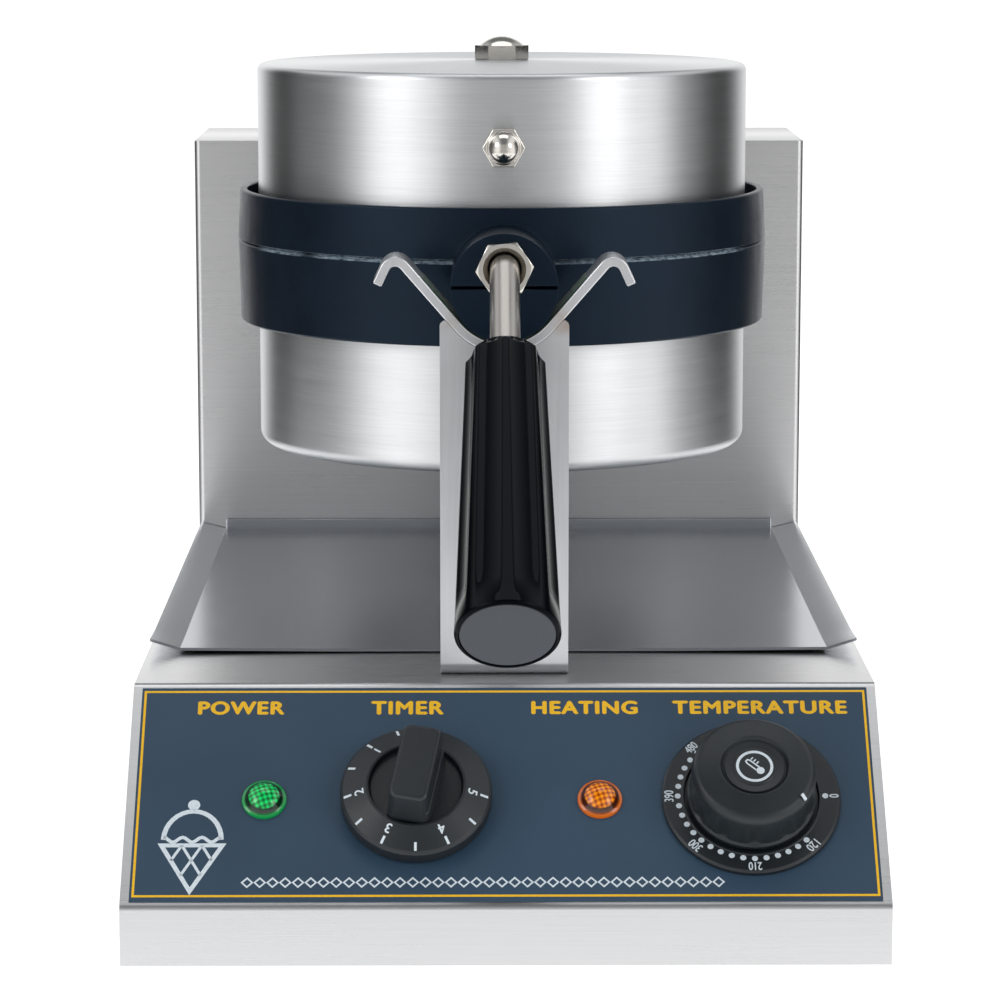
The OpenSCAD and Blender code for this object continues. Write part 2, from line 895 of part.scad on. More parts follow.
module handle_nut() {
  color("silver") placed() along_y(boss_y - nut_t, axis_h + rod_rise) difference() {
    intersection() {
      rotate([0, 0, -5]) hex_prism(nut_af, nut_t);
      union() {
        cylinder(r1 = nut_af / 2, r2 = nut_af / 2 + 3, h = 3 * tan(30) + eps);
        translate([0, 0, 3 * tan(30)]) cylinder(r = nut_af, h = nut_t);
      }
    }
    translate([0, 0, -1]) cylinder(r = rod_r + 0.5, h = nut_t + 2);
    translate([0, 0, -eps]) cylinder(r1 = rod_r + 2.2, r2 = rod_r + 0.5, h = 2.4);
  }
}

module handle_grip() {
  flute_r = 14;
  lean = atan2(grip_r2 - grip_r1, grip_len);
  color("black") placed() down_handle() translate([0, 0, grip_start]) difference() {
    union() {
      cylinder(r1 = grip_r1 - 1.5, r2 = grip_r1, h = 1.5);
      translate([0, 0, 1.5 - eps])
        cylinder(r1 = grip_r1, r2 = grip_r2, h = grip_len - 2.5 + eps);
      translate([0, 0, grip_len - 1 - eps]) cylinder(r1 = grip_r2, r2 = grip_r2 - 1, h = 1 + eps);
    }
    for (a = [0 : 45 : 315])
      rotate([0, 0, a + 22.5])
        translate([grip_r1 + flute_r - 1.3, 0, -2])
          rotate([0, lean, 0]) cylinder(r = flute_r, h = grip_len - 4);
    translate([0, 0, -1]) cylinder(r = rod_r, h = grip_len - 15);
    translate([0, 0, grip_len - 1.5]) cylinder(r = cap_r, h = 3);
  }
}

module grip_end_cap() {
  color("dimgray") placed() down_handle() translate([0, 0, grip_end - 1.5])
    cylinder(r = cap_r, h = 1.3);
}

/* ---- tray ---- */

module drip_tray() {
  floor_z = deck_h + 0.6;
  half = tray_w / 2;
  rise = 2.6;
  back = column_y - 0.8;
  section = [
    [-half, floor_z + rise],
    [-half + tray_side, floor_z],
    [half - tray_side, floor_z],
    [half, floor_z + rise]
  ];
  color("lightgray") placed() {
    translate([0, back, 0]) rotate([90, 0, 0]) linear_extrude(height = back - tray_y)
      polygon([
        section[0], section[1], section[2], section[3],
        section[3] + [0, tray_t], section[2] + [0, tray_t],
        section[1] + [0, tray_t], section[0] + [0, tray_t]
      ]);
    translate([-half + tray_side, back - tray_t, floor_z])
      cube([tray_w - 2 * tray_side, tray_t, 5]);
  }
}

/* ---- knobs ---- */

module timer_knob() {
  foot = overlay_t + 0.5;
  bar_top = foot + 22.6;
  color("darkslategray") placed() on_panel(timer_x) rotate([0, 0, timer_turn]) difference() {
    union() {
      rotate_extrude()
        polygon([
          [0, foot], [timer_r - 0.5, foot], [timer_r, foot + 0.5], [timer_r, foot + 5],
          [timer_r - 1, foot + 6], [16.2, foot + 9.4], [15.2, foot + 9.4], [14.8, foot + 7.2],
          [0, foot + 7.2]
        ]);
      intersection() {
        translate([-6.8, -15, foot + 1]) cube([13.6, 30, bar_top - foot - 1]);
        translate([0, 0, foot]) cylinder(r1 = 16.4, r2 = 14.8, h = bar_top - foot);
      }
    }
    cylinder(r = 3, h = 14);
  }
}

module timer_shaft() {
  color("silver") placed() on_panel(timer_x) translate([0, 0, -18]) cylinder(r = 3, h = 30);
}

module temperature_knob() {
  foot = overlay_t + 2.2 + 0.4;
  height = 18;
  top_r = temp_knob_r - 2;
  scallops = 12;
  cutter_r = 8;
  color("dimgray") placed() on_panel(temperature_x) translate([0, 0, foot]) difference() {
    rotate_extrude()
      polygon(concat(
        [[0, 0], [temp_knob_r, 0], [temp_knob_r, 2.5], [temp_knob_r - 0.6, 3]],
        arc([top_r - 2, height - 2], 2, 0, 90),
        [[11.5, height], [10.3, height - 1.6], [0, height - 1.6]]
      ));
    for (i = [0 : scallops - 1])
      rotate([0, 0, 360 * i / scallops])
        translate([temp_knob_r - 1.7 + cutter_r, 0, 3.5]) cylinder(r = cutter_r, h = height);
    translate([0, 0, -1]) cylinder(r = 3, h = 12);
  }
}

module temperature_knob_cap() {
  foot = overlay_t + 2.2 + 0.4;
  color("darkslategray") placed() on_panel(temperature_x) translate([0, 0, foot + 18 - 1.6])
    rotate_extrude()
      polygon([[0, 0], [10, 0], [10, 0.8], [6.4, 0.5], [6, 0.9], [0, 0.9]]);
}

module thermostat_shaft() {
  color("silver") placed() on_panel(temperature_x) translate([0, 0, -12]) cylinder(r = 3, h = 24);
}

base_shell();
bottom_plate();
rubber_feet();
foot_screws();
control_overlay();
power_lamp_lens();
power_lamp_body();
heating_lamp_lens();
heating_lamp_body();
timer_mechanism();
temperature_ring();
thermostat_body();
terminal_block();
cable_gland();
cradle_bracket();
cradle_strap();
cradle_liner();
bracket_screws();
column_shell();
column_back_cover();
back_cover_screws();
bearing_housing();
bearing_bush();
bearing_screws();
drip_tray();
timer_knob();
timer_shaft();
temperature_knob();
temperature_knob_cap();
thermostat_shaft();
pivot_shaft();
shaft_collar();
hinge_yoke();
yoke_screws();
hinge_pin();
lower_shell();
lower_ring();
lower_plate();
lower_heater();
lower_reflector();
lower_insulation();
lower_stud();
lower_cap_nut();
lower_acorn_nut();
thermostat_bulb();
upper_shell();
upper_ring();
upper_plate();
upper_heater();
upper_reflector();
upper_insulation();
upper_stud();
upper_cap_nut();
upper_acorn_nut();
hinge_leaf();
handle_rod();
handle_nut();
handle_grip();
grip_end_cap();
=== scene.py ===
"""Waffle cone maker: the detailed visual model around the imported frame.

Shapes are written in millimetres in the same working coordinates as the CAD source: y counts
from the front of the lip and z from the underside of the base. at() turns them into metres in
the row frame. Every piece's mesh lies in the row frame and its object sits at the origin.
"""
import json
import math

import bmesh
import bpy
from mathutils import Matrix, Vector


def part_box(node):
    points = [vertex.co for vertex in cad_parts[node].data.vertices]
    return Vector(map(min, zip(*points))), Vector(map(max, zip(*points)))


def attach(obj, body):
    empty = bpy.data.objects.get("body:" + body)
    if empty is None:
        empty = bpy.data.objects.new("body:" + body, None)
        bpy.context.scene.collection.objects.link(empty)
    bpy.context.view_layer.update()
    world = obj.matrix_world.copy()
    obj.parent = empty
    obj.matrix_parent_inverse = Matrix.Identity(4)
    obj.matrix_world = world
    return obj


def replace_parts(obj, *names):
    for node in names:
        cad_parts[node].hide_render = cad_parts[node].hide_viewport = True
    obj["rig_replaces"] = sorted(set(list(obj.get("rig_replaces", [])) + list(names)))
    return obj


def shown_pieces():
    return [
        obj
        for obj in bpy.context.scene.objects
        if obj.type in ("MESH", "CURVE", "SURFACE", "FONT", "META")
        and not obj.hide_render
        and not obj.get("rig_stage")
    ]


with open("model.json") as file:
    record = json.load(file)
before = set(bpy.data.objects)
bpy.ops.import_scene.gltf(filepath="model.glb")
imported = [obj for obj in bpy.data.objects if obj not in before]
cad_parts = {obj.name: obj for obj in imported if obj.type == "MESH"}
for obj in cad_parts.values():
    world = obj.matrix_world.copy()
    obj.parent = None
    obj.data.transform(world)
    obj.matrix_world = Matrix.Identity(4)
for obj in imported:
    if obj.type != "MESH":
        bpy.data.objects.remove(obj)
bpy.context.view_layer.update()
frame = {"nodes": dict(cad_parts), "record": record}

NODES = frame["nodes"]
SLOT_OF = {part["node"]: part["material_slot"] for part in frame["record"]["subparts"]}
BODIES = frame["record"]["behaviour"]["bodies"]
BODY_OF = {node: body for body, members in BODIES.items() for node in members}
MM = 0.001
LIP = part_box("base_shell")[0]  # its lowest front left corner

# Sizes shared with the CAD model, in mm
LIP_H, PANEL_RUN, DECK_H = 19.5, 65.0, 79.3
HEAD_Y, SEAM_H = 204.5, 218.1
SHELL_R, FLANGE_H, CROWN = 89.3, 5.0, 1.2
BEND_Y, BEND_H, HANDLE_FALL = 69.5, 219.0, 40.0
OVERLAY_T = 0.4
PRINT_H = 0.03  # thickness of printed ink
CONTROL_S = 41.0  # how far up the panel the controls stand
TIMER_X, TEMPERATURE_X, POWER_X, HEATING_X = -29.4, 81.0, -79.5, 31.1
TILT = math.atan2(DECK_H - LIP_H, PANEL_RUN)


def at(x, y, z):
    """A working point in mm as a point of the row frame in metres."""
    return Vector((x * MM, LIP.y + y * MM, LIP.z + z * MM))


def axes(origin, x, y, z):
    """A matrix from mm along three directions at a working point to the row frame."""
    m = Matrix((Vector(x) * MM, Vector(y) * MM, Vector(z) * MM)).transposed().to_4x4()
    m.translation = at(*origin)
    return m


UP_PANEL = (0, math.cos(TILT), math.sin(TILT))
OFF_PANEL = (0, -math.sin(TILT), math.cos(TILT))


def on_panel(x, s=0.0):
    """x across the panel, s up it, and z off its sheet."""
    origin = (x, s * UP_PANEL[1], LIP_H + s * UP_PANEL[2])
    return axes(origin, (1, 0, 0), UP_PANEL, OFF_PANEL)


ON_FILM = Matrix.Translation((0, 0, OVERLAY_T))
UPPER = axes((0, HEAD_Y, SEAM_H), (1, 0, 0), (0, 1, 0), (0, 0, 1))
LOWER = axes((0, HEAD_Y, SEAM_H), (1, 0, 0), (0, -1, 0), (0, 0, -1))
FALL = math.radians(HANDLE_FALL)
HANDLE = axes(
    (0, BEND_Y, BEND_H),
    (1, 0, 0),
    (0, -math.sin(FALL), math.cos(FALL)),
    (0, -math.cos(FALL), -math.sin(FALL)),
)


# ---- materials ----


class Nodes:
    """Short helpers for adding nodes to a tree."""

    def __init__(self, tree):
        self.tree = tree

    def coordinates(self, kind):
        return self.tree.nodes.new("ShaderNodeTexCoord").outputs[kind]

    def node(self, kind, inputs, output=0, **settings):
        node = self.tree.nodes.new("ShaderNode" + kind)
        for key, value in settings.items():
            setattr(node, key, value)
        for key, value in inputs.items():
            if isinstance(value, bpy.types.NodeSocket):
                self.tree.links.new(value, node.inputs[key])
            else:
                node.inputs[key].default_value = value
        return node.outputs[output]

    def math(self, operation, a, b=0.0, c=0.0):
        return self.node("Math", {0: a, 1: b, 2: c}, operation=operation)

    def times(self, first, *others):
        for other in others:
            first = self.math("MULTIPLY", first, other)
        return first

    def absolute(self, value):
        return self.math("ABSOLUTE", value)

    def weighed(self, a, share, b, other_share):
        """share of a plus other_share of b."""
        return self.math("MULTIPLY_ADD", a, share, self.times(b, other_share))

    def dot(self, place, direction):
        return self.node("VectorMath", {0: place, 1: direction}, "Value", operation="DOT_PRODUCT")

    def parts(self, vector):
        node = self.tree.nodes.new("ShaderNodeSeparateXYZ")
        self.tree.links.new(vector, node.inputs[0])
        return node.outputs

    def combined(self, x, y, z):
        return self.node("CombineXYZ", {0: x, 1: y, 2: z})

    def noise(self, vector, detail=3.0, roughness=0.55):
        settings = {"Vector": vector, "Scale": 1.0, "Detail": detail, "Roughness": roughness}
        return self.node("TexNoise", settings, "Fac")

    def ramp(self, factor, stops):
        node = self.tree.nodes.new("ShaderNodeValToRGB")
        self.tree.links.new(factor, node.inputs[0])
        elements = node.color_ramp.elements
        while len(elements) < len(stops):
            elements.new(0.5)
        for element, (position, colour) in zip(elements, stops):
            element.position = position
            element.color = (*colour, 1.0) if isinstance(colour, tuple) else (*[colour] * 3, 1.0)
        return node.outputs["Color"]

    def mix(self, factor, a, b):
        return self.node("Mix", {0: factor, 6: a, 7: b}, 2, data_type="RGBA")

    def blend(self, factor, a, b):
        """A number between a and b."""
        return self.node("Mix", {0: factor, 2: a, 3: b}, 0, data_type="FLOAT")

    def band(self, value, low, high):
        """0 below low, 1 above high, and smooth between."""
        return self.node(
            "MapRange", {0: value, 1: low, 2: high, 3: 0.0, 4: 1.0}, interpolation_type="SMOOTHSTEP"
        )

    def length(self, x, y):
        return self.math("SQRT", self.math("MULTIPLY_ADD", x, x, self.times(y, y)))

    def bearing(self, x, y):
        """The angle from straight ahead of the object, positive to its right, in radians."""
        return self.math("ARCTAN2", x, self.times(y, -1.0))


class Finish(Nodes):
    """A Principled material."""

    def __init__(self, name, colour, roughness, metallic=0.0, **fixed):
        self.material = bpy.data.materials.new(name)
        self.material.use_nodes = True
        super().__init__(self.material.node_tree)
        self.shader = self.tree.nodes["Principled BSDF"]
        self.put("Base Color", (*colour, 1.0))
        self.put("Roughness", roughness)
        self.put("Metallic", metallic)
        for key, value in fixed.items():
            self.put(key.replace("_", " "), value)
        self.place = self.coordinates("Object")
        self.normal = self.coordinates("Normal")

    def put(self, key, value):
        socket = self.shader.inputs[key]
        if isinstance(value, bpy.types.NodeSocket):
            self.tree.links.new(value, socket)
        else:
            socket.default_value = value

    def scaled(self, scale, offset=(0, 0, 0)):
        return self.node(
            "VectorMath", {0: self.place, 1: scale, 2: offset}, operation="MULTIPLY_ADD"
        )

    def bump(self, height, depth, strength=1.0):
        settings = {"Height": height, "Distance": depth, "Strength": strength}
        self.put("Normal", self.node("Bump", settings, "Normal"))

    def tones(self, field, *stops):
        self.put("Base Color", self.ramp(field, stops))

    def gloss(self, field, *stops):
        self.put("Roughness", self.ramp(field, stops))

    def round_z(self):
        """Grain that runs round the vertical axis."""
        self.put("Tangent", self.node("Tangent", {}, direction_type="RADIAL", axis="Z"))

    def over(self, amount, colour):
        """Lays another colour over the present one."""
        base = self.shader.inputs["Base Color"].links[0].from_socket
        self.put("Base Color", self.mix(amount, base, (*colour, 1.0)))


def tint(colour, factor):
    return tuple(min(1.0, c * factor) for c in colour)


def grained(finish, streaks, colour, roughness, spread, depth):
    """Colour, roughness and fine relief that all follow one field of streaks."""
    finish.tones(streaks, (0.25, tint(colour, 1 - spread)), (0.75, tint(colour, 1 + spread)))
    finish.gloss(streaks, (0.2, roughness - 0.05), (0.8, roughness + 0.06))
    finish.bump(streaks, depth)


def sheet_steel(name, colour, roughness):
    """Stainless sheet brushed along its width, with faint smudges."""
    finish = Finish(name, colour, roughness, 1.0, Anisotropic=0.75, Anisotropic_Rotation=0.25)
    finish.round_z()
    sideways = finish.band(finish.absolute(finish.parts(finish.normal)[0]), 0.5, 0.8)
    along_x = finish.noise(finish.scaled((14, 1500, 1500)), 4.0, 0.7)
    along_y = finish.noise(finish.scaled((1500, 14, 1500)), 4.0, 0.7)
    streaks = finish.blend(sideways, along_x, along_y)
    smudges = finish.noise(finish.scaled((9, 9, 14)), 5.0, 0.6)
    grained(finish, finish.weighed(smudges, 0.45, streaks, 0.6), colour, roughness, 0.08, 0.00004)
    return finish.material


def spun_steel(name, colour, roughness=0.33):
    """A spun and brushed cup: grain runs round the wall and in rings over the closed end."""
    finish = Finish(name, colour, roughness, 1.0, Anisotropic=0.78, Anisotropic_Rotation=0.25)
    finish.round_z()
    centre = at(0, HEAD_Y, 0)
    x, y, z = finish.parts(finish.scaled((1, 1, 1), (-centre.x, -centre.y, 0)))
    radius = finish.length(x, y)
    angle = finish.bearing(x, y)
    fine = finish.combined(
        finish.times(angle, 3.0), finish.times(radius, 1500.0), finish.times(z, 1500.0)
    )
    streaks = finish.noise(fine, 4.0, 0.7)
    coarse = finish.noise(
        finish.combined(finish.times(angle, 1.2), 0.0, finish.times(z, 260.0)), 2.0
    )
    grained(finish, finish.weighed(coarse, 0.35, streaks, 0.68), colour, roughness, 0.1, 0.00006)
    return finish.material


def tray_steel():
    """A smooth sheet with a few wiping marks, and a painted reflection that makes its turned-up
    sides brighter.
    """
    colour, roughness = (0.38, 0.4, 0.43), 0.2
    finish = Finish(
        "tray_steel", colour, roughness, 1.0, Anisotropic=0.4, Anisotropic_Rotation=0.25
    )
    finish.round_z()
    streaks = finish.noise(finish.scaled((10, 900, 900)), 3.0, 0.6)
    wiping = finish.noise(finish.scaled((22, 60, 60), (3, 1, 0)), 6.0, 0.65)
    grained(finish, finish.weighed(wiping, 0.5, streaks, 0.5), colour, roughness, 0.09, 0.00002)
    # Painted reflection: the turned-up sides are painted a paler steel in place of the bright
    # screens that they mirror.
    sides = finish.band(finish.absolute(finish.parts(finish.normal)[0]), 0.06, 0.2)
    finish.over(sides, (0.74, 0.76, 0.79))
    return finish.material


def cradle_steel():
    """Satin plate, with straw-brown heat tint beside the strap's weld."""
    colour, roughness = (0.76, 0.77, 0.79), 0.36
    finish = Finish("cradle_steel", colour, roughness, 1.0)
    streaks = finish.noise(finish.scaled((1300, 1300, 20)), 4.0, 0.65)
    cloud = finish.noise(finish.scaled((60, 60, 40)), 4.0, 0.6)
    grained(finish, finish.weighed(cloud, 0.4, streaks, 0.6), colour, roughness, 0.06, 0.00003)
    x, _, z = finish.parts(finish.place)
    height = finish.absolute(finish.math("SUBTRACT", z, at(0, 0, 200.5).z))
    near = finish.math("SUBTRACT", 1.0, finish.band(height, 0.001, 0.006))
    outward = finish.band(finish.absolute(x), 0.012, 0.02)
    patches = finish.band(cloud, 0.35, 0.65)
    finish.over(finish.times(near, outward, patches, 0.6), (0.42, 0.24, 0.11))
    return finish.material


def moulded(name, colour, roughness, grain=2600.0, depth=0.00004, spread=0.12, **fixed):
    """Moulded plastic or rubber: fine spark-eroded grain and slow changes of tone and gloss."""
    finish = Finish(name, colour, roughness, **fixed)
    sparks = finish.noise(finish.scaled((grain,) * 3), 2.0, 0.5)
    cloud = finish.noise(finish.scaled((45,) * 3), 4.0, 0.6)
    finish.tones(cloud, (0.3, tint(colour, 1 - spread)), (0.7, tint(colour, 1 + spread)))
    finish.gloss(
        finish.weighed(sparks, 0.4, cloud, 0.6),
        (0.3, max(0.02, roughness - 0.07)), (0.7, roughness + 0.08),
    )
    finish.bump(sparks, depth)
    return finish


def ring_black():
    """Dark phenolic moulding, with a painted highlight: a paler speckle along the edge of the seam's
    chamfer at the front.
    """
    finish = moulded(
        "ring_black", (0.002, 0.006, 0.013), 0.32, 1400.0, 0.00004, 0.2,
        Specular_IOR_Level=0.3, Specular_Tint=(0.5, 0.72, 1.0, 1.0),
    )
    # Painted highlight: the masks below lay a paler speckled line on the outer edge of the seam's
    # chamfer at the front, where that edge would catch the light.
    centre = at(0, HEAD_Y, SEAM_H - 0.7)
    wall_r = 0.0968
    x, y, z = finish.parts(finish.scaled((1, 1, 1), tuple(-centre)))
    off_wall = finish.absolute(finish.math("SUBTRACT", finish.length(x, y), wall_r))
    near = finish.math("SUBTRACT", 1.0, finish.band(finish.absolute(z), 0.0007, 0.001))
    outer = finish.band(off_wall, 0.0022, 0.0014)
    front = finish.band(y, -0.03, -0.055)
    patches = finish.band(finish.noise(finish.scaled((24, 24, 1), (7, 0, 0)), 2.0), 0.4, 0.56)
    speckle = finish.band(finish.noise(finish.scaled((420, 420, 1500)), 6.0, 0.75), 0.33, 0.62)
    finish.over(finish.times(near, outer, patches, front, speckle), (0.23, 0.29, 0.34))
    return finish.material


def overlay_film():
    """Screen-printed slate-blue film with a fine leather-like emboss."""
    finish = Finish("overlay_film", (0.036, 0.062, 0.098), 0.5, Specular_IOR_Level=0.35)
    emboss = finish.noise(finish.scaled((2100,) * 3), 2.0, 0.5)
    cloud = finish.noise(finish.scaled((16,) * 3), 3.0, 0.5)
    finish.tones(cloud, (0.3, (0.026, 0.056, 0.094)), (0.7, (0.034, 0.07, 0.116)))
    finish.gloss(emboss, (0.3, 0.38), (0.7, 0.5))
    finish.bump(emboss, 0.00003)
    return finish.material


def ink(name, colour):
    """Printing ink with the pinholes and uneven cover of a screen print."""
    finish = Finish(name, colour, 0.5)
    cover = finish.noise(finish.scaled((1800,) * 3), 3.0, 0.6)
    finish.tones(cover, (0.3, tint(colour, 0.84)), (0.6, colour))
    finish.bump(cover, 0.00001)
    return finish.material


def lens_plastic(name, x, dark, body, bright):
    """A tinted pilot lens: a lattice of prisms glows in the middle, under a clear skin."""
    finish = Finish(
        name, body, 0.3, IOR=1.5, Coat_Weight=1.0, Coat_Roughness=0.02, Specular_IOR_Level=0.1
    )
    centre = on_panel(x, CONTROL_S).translation
    local = finish.scaled((1, 1, 1), tuple(-centre))
    across = finish.parts(local)[0]
    upward = finish.dot(local, UP_PANEL)
    radius = finish.length(across, upward)
    turn, pitch = math.radians(18), 0.00165
    cos, sin = math.cos(turn), math.sin(turn)
    waves = [
        finish.math("COSINE", finish.times(line, 2 * math.pi / pitch))
        for line in (
            finish.weighed(across, cos, upward, sin),
            finish.weighed(across, -sin, upward, cos),
        )
    ]
    prism = finish.math("MULTIPLY_ADD", finish.math("ADD", *waves), 0.25, 0.5)
    lattice = finish.ramp(prism, [(0.0, tint(body, 0.35)), (0.4, body), (0.95, bright)])
    skirt = finish.ramp(
        finish.times(radius, 100.0), [(0.5, dark), (0.6, dark), (0.68, body), (0.74, body)]
    )
    outside = finish.band(radius, 0.0047, 0.0053)
    colour = finish.mix(outside, lattice, skirt)
    finish.put("Base Color", colour)
    finish.put("Emission Color", colour)
    finish.put("Emission Strength", 0.5)
    inside = finish.math("SUBTRACT", 1.0, outside)
    finish.bump(finish.times(prism, inside), 0.00008, 0.5)
    return finish.material


def woven_liner():
    """Green glass-cloth tape."""
    finish = Finish("liner_green", (0.01, 0.06, 0.03), 0.7, Sheen_Weight=0.3)
    threads = {"Vector": finish.place, "Scale": 900.0, "Distortion": 0.6}
    warp = finish.node("TexWave", threads, "Fac", bands_direction="X")
    weft = finish.node("TexWave", threads, "Fac", bands_direction="Y")
    weave = finish.times(warp, weft)
    finish.tones(weave, (0.1, (0.004, 0.03, 0.014)), (0.7, (0.015, 0.11, 0.05)))
    finish.bump(weave, 0.0001)
    return finish.material


def bright_metal(name, colour, roughness):
    """Plated metal with soft waviness and tiny pits."""
    finish = Finish(name, colour, roughness, 1.0)
    cloud = finish.noise(finish.scaled((400.0,) * 3), 5.0, 0.6)
    finish.tones(cloud, (0.3, tint(colour, 0.95)), (0.7, tint(colour, 1.05)))
    finish.gloss(cloud, (0.3, max(0.03, roughness - 0.05)), (0.75, roughness + 0.08))
    finish.bump(cloud, 0.00002)
    return finish.material


def drawn_rod():
    """A drawn rod with streaks along its length."""
    colour, roughness = (0.43, 0.41, 0.385), 0.3
    finish = Finish("rod_steel", colour, roughness, 1.0)
    streaks = finish.noise(finish.scaled((1800.0, 25.0, 25.0)), 3.0, 0.6)
    grained(finish, streaks, colour, roughness, 0.14, 0.00003)
    return finish.material


def cast_metal(name, colour, roughness, metallic, grain=700.0, depth=0.00015):
    """Sand-cast or oxidised metal: rough, mottled skin."""
    finish = Finish(name, colour, roughness, metallic)
    skin = finish.noise(finish.scaled((grain,) * 3), 6.0, 0.65)
    cloud = finish.noise(finish.scaled((30,) * 3), 4.0, 0.6)
    mottle = finish.weighed(cloud, 0.6, skin, 0.4)
    finish.tones(mottle, (0.3, tint(colour, 0.8)), (0.7, tint(colour, 1.15)))
    finish.gloss(skin, (0.3, roughness - 0.08), (0.7, roughness + 0.1))
    finish.bump(skin, depth)
    return finish.material


def wool():
    """Pressed mineral-fibre felt."""
    finish = Finish("insulation_wool", (0.6, 0.57, 0.5), 0.95, Sheen_Weight=0.4)
    fibre = finish.noise(finish.scaled((900, 900, 120)), 6.0, 0.75)
    finish.tones(fibre, (0.3, (0.42, 0.39, 0.33)), (0.7, (0.72, 0.69, 0.62)))
    finish.bump(fibre, 0.0004)
    return finish.material


MATERIAL = {
    "casing_steel": sheet_steel("casing_steel", (0.655, 0.655, 0.66), 0.28),
    "shell_steel": spun_steel("shell_steel", (0.68, 0.69, 0.7)),
    "tray_steel": tray_steel(),
    "cradle_steel": cradle_steel(),
    "liner_green": woven_liner(),
    "overlay_film": overlay_film(),
    "ring_black": ring_black(),
    "grip_black": moulded(
        "grip_black", (0.0008, 0.0014, 0.0025), 0.12, 900.0, 0.00002, 0.2,
        Specular_IOR_Level=0.08, Specular_Tint=(0.75, 0.88, 1.0, 1.0),
    ).material,
    "grip_end_grey": moulded("grip_end_grey", (0.028, 0.036, 0.048), 0.36, 1600.0, 0.00006).material,
    "knob_black": moulded("knob_black", (0.012, 0.016, 0.02), 0.38, 2200.0, 0.00005).material,
    "knob_rubber": moulded("knob_rubber", (0.009, 0.014, 0.018), 0.42, 2600.0, 0.00006).material,
    "feet_rubber": moulded("feet_rubber", (0.02, 0.02, 0.02), 0.7, 1500.0, 0.0001).material,
    "lens_green": lens_plastic(
        "lens_green", POWER_X, (0.0, 0.012, 0.004), (0.0, 0.2, 0.04), (0.0, 0.55, 0.11)
    ),
    "lens_amber": lens_plastic(
        "lens_amber", HEATING_X, (0.035, 0.006, 0.002), (0.42, 0.085, 0.0), (0.72, 0.24, 0.0)
    ),
    "inner_ivory": moulded("inner_ivory", (0.62, 0.57, 0.45), 0.5, 1200.0, 0.00005, 0.06).material,
    "thermostat_steel": bright_metal("thermostat_steel", (0.6, 0.6, 0.58), 0.3),
    "plate_aluminium": cast_metal("plate_aluminium", (0.33, 0.33, 0.34), 0.42, 1.0, 900.0, 0.00006),
    "heater_steel": cast_metal("heater_steel", (0.16, 0.13, 0.12), 0.5, 0.9),
    "insulation_wool": wool(),
    "bulb_copper": bright_metal("bulb_copper", (0.72, 0.36, 0.2), 0.25),
    "bush_bronze": bright_metal("bush_bronze", (0.55, 0.38, 0.17), 0.3),
    "cast_grey": cast_metal("cast_grey", (0.3, 0.31, 0.32), 0.5, 0.85),
    "shaft_steel": bright_metal("shaft_steel", (0.5, 0.5, 0.51), 0.26),
    "rod_steel": drawn_rod(),
    "bright_hardware": bright_metal("bright_hardware", (0.72, 0.69, 0.64), 0.12),
}
YELLOW = ink("ink_yellow", (0.95, 0.54, 0.006))
WHITE = ink("ink_white", (0.72, 0.8, 0.86))


# ---- mesh helpers ----


def add_piece(name, mesh, body, slot, material=None, stands_for=(), smooth=35.0, weighted=True):
    """An object that holds a mesh, with its finish, its body and the nodes that it stands for."""
    piece = bpy.data.objects.new(name, mesh)
    bpy.context.scene.collection.objects.link(piece)
    mesh.materials.clear()
    mesh.materials.append(material or MATERIAL[slot])
    mesh.polygons.foreach_set("use_smooth", [True] * len(mesh.polygons))
    mesh.set_sharp_from_angle(angle=math.radians(smooth))
    if weighted:
        weigh = piece.modifiers.new("flat_faces", "WEIGHTED_NORMAL")
        weigh.keep_sharp = True
        apply_modifiers(piece)
    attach(piece, body)
    if stands_for:
        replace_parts(piece, *stands_for)


def add_solid(name, bm, *where, **settings):
    """A piece from a bmesh, which is used up."""
    add_piece(name, to_mesh(bm, name), *where, **settings)


def apply_modifiers(piece):
    bpy.context.view_layer.update()
    evaluated = piece.evaluated_get(bpy.context.evaluated_depsgraph_get())
    mesh = bpy.data.meshes.new_from_object(evaluated)
    old = piece.data
    piece.modifiers.clear()
    piece.data = mesh
    bpy.data.meshes.remove(old)


def to_mesh(bm, name):
    bmesh.ops.recalc_face_normals(bm, faces=bm.faces)
    mesh = bpy.data.meshes.new(name)
    bm.to_mesh(mesh)
    bm.free()
    return mesh


def soften(node, width):
    """A node's own shape with welded faces and edges rounded by a width in mm. The piece stands
    for the node."""
    weld, flat, sharp = 2e-6, math.radians(0.6), math.radians(32.0)
    bm = bmesh.new()
    bm.from_mesh(NODES[node].data)
    bmesh.ops.remove_doubles(bm, verts=bm.verts, dist=weld)
    bmesh.ops.dissolve_limit(bm, angle_limit=flat, verts=bm.verts, edges=bm.edges)
    piece = bpy.data.objects.new(node + "_edged", to_mesh(bm, node))
    bpy.context.scene.collection.objects.link(piece)
    edge = piece.modifiers.new("edge", "BEVEL")
    edge.limit_method = "ANGLE"
    edge.angle_limit = sharp
    edge.width = width * MM
    edge.segments = 2
    edge.use_clamp_overlap = True
    apply_modifiers(piece)
    mesh = piece.data
    bpy.data.objects.remove(piece)
    add_piece(node + "_finished", mesh, BODY_OF[node], SLOT_OF[node], stands_for=(node,))


def clamp(value):
    return max(0.0, min(1.0, value))


def circle(radius, steps, x=0.0, y=0.0):
    turns = [2 * math.pi * k / steps for k in range(steps)]
    return [(x + radius * math.cos(a), y + radius * math.sin(a)) for a in turns]


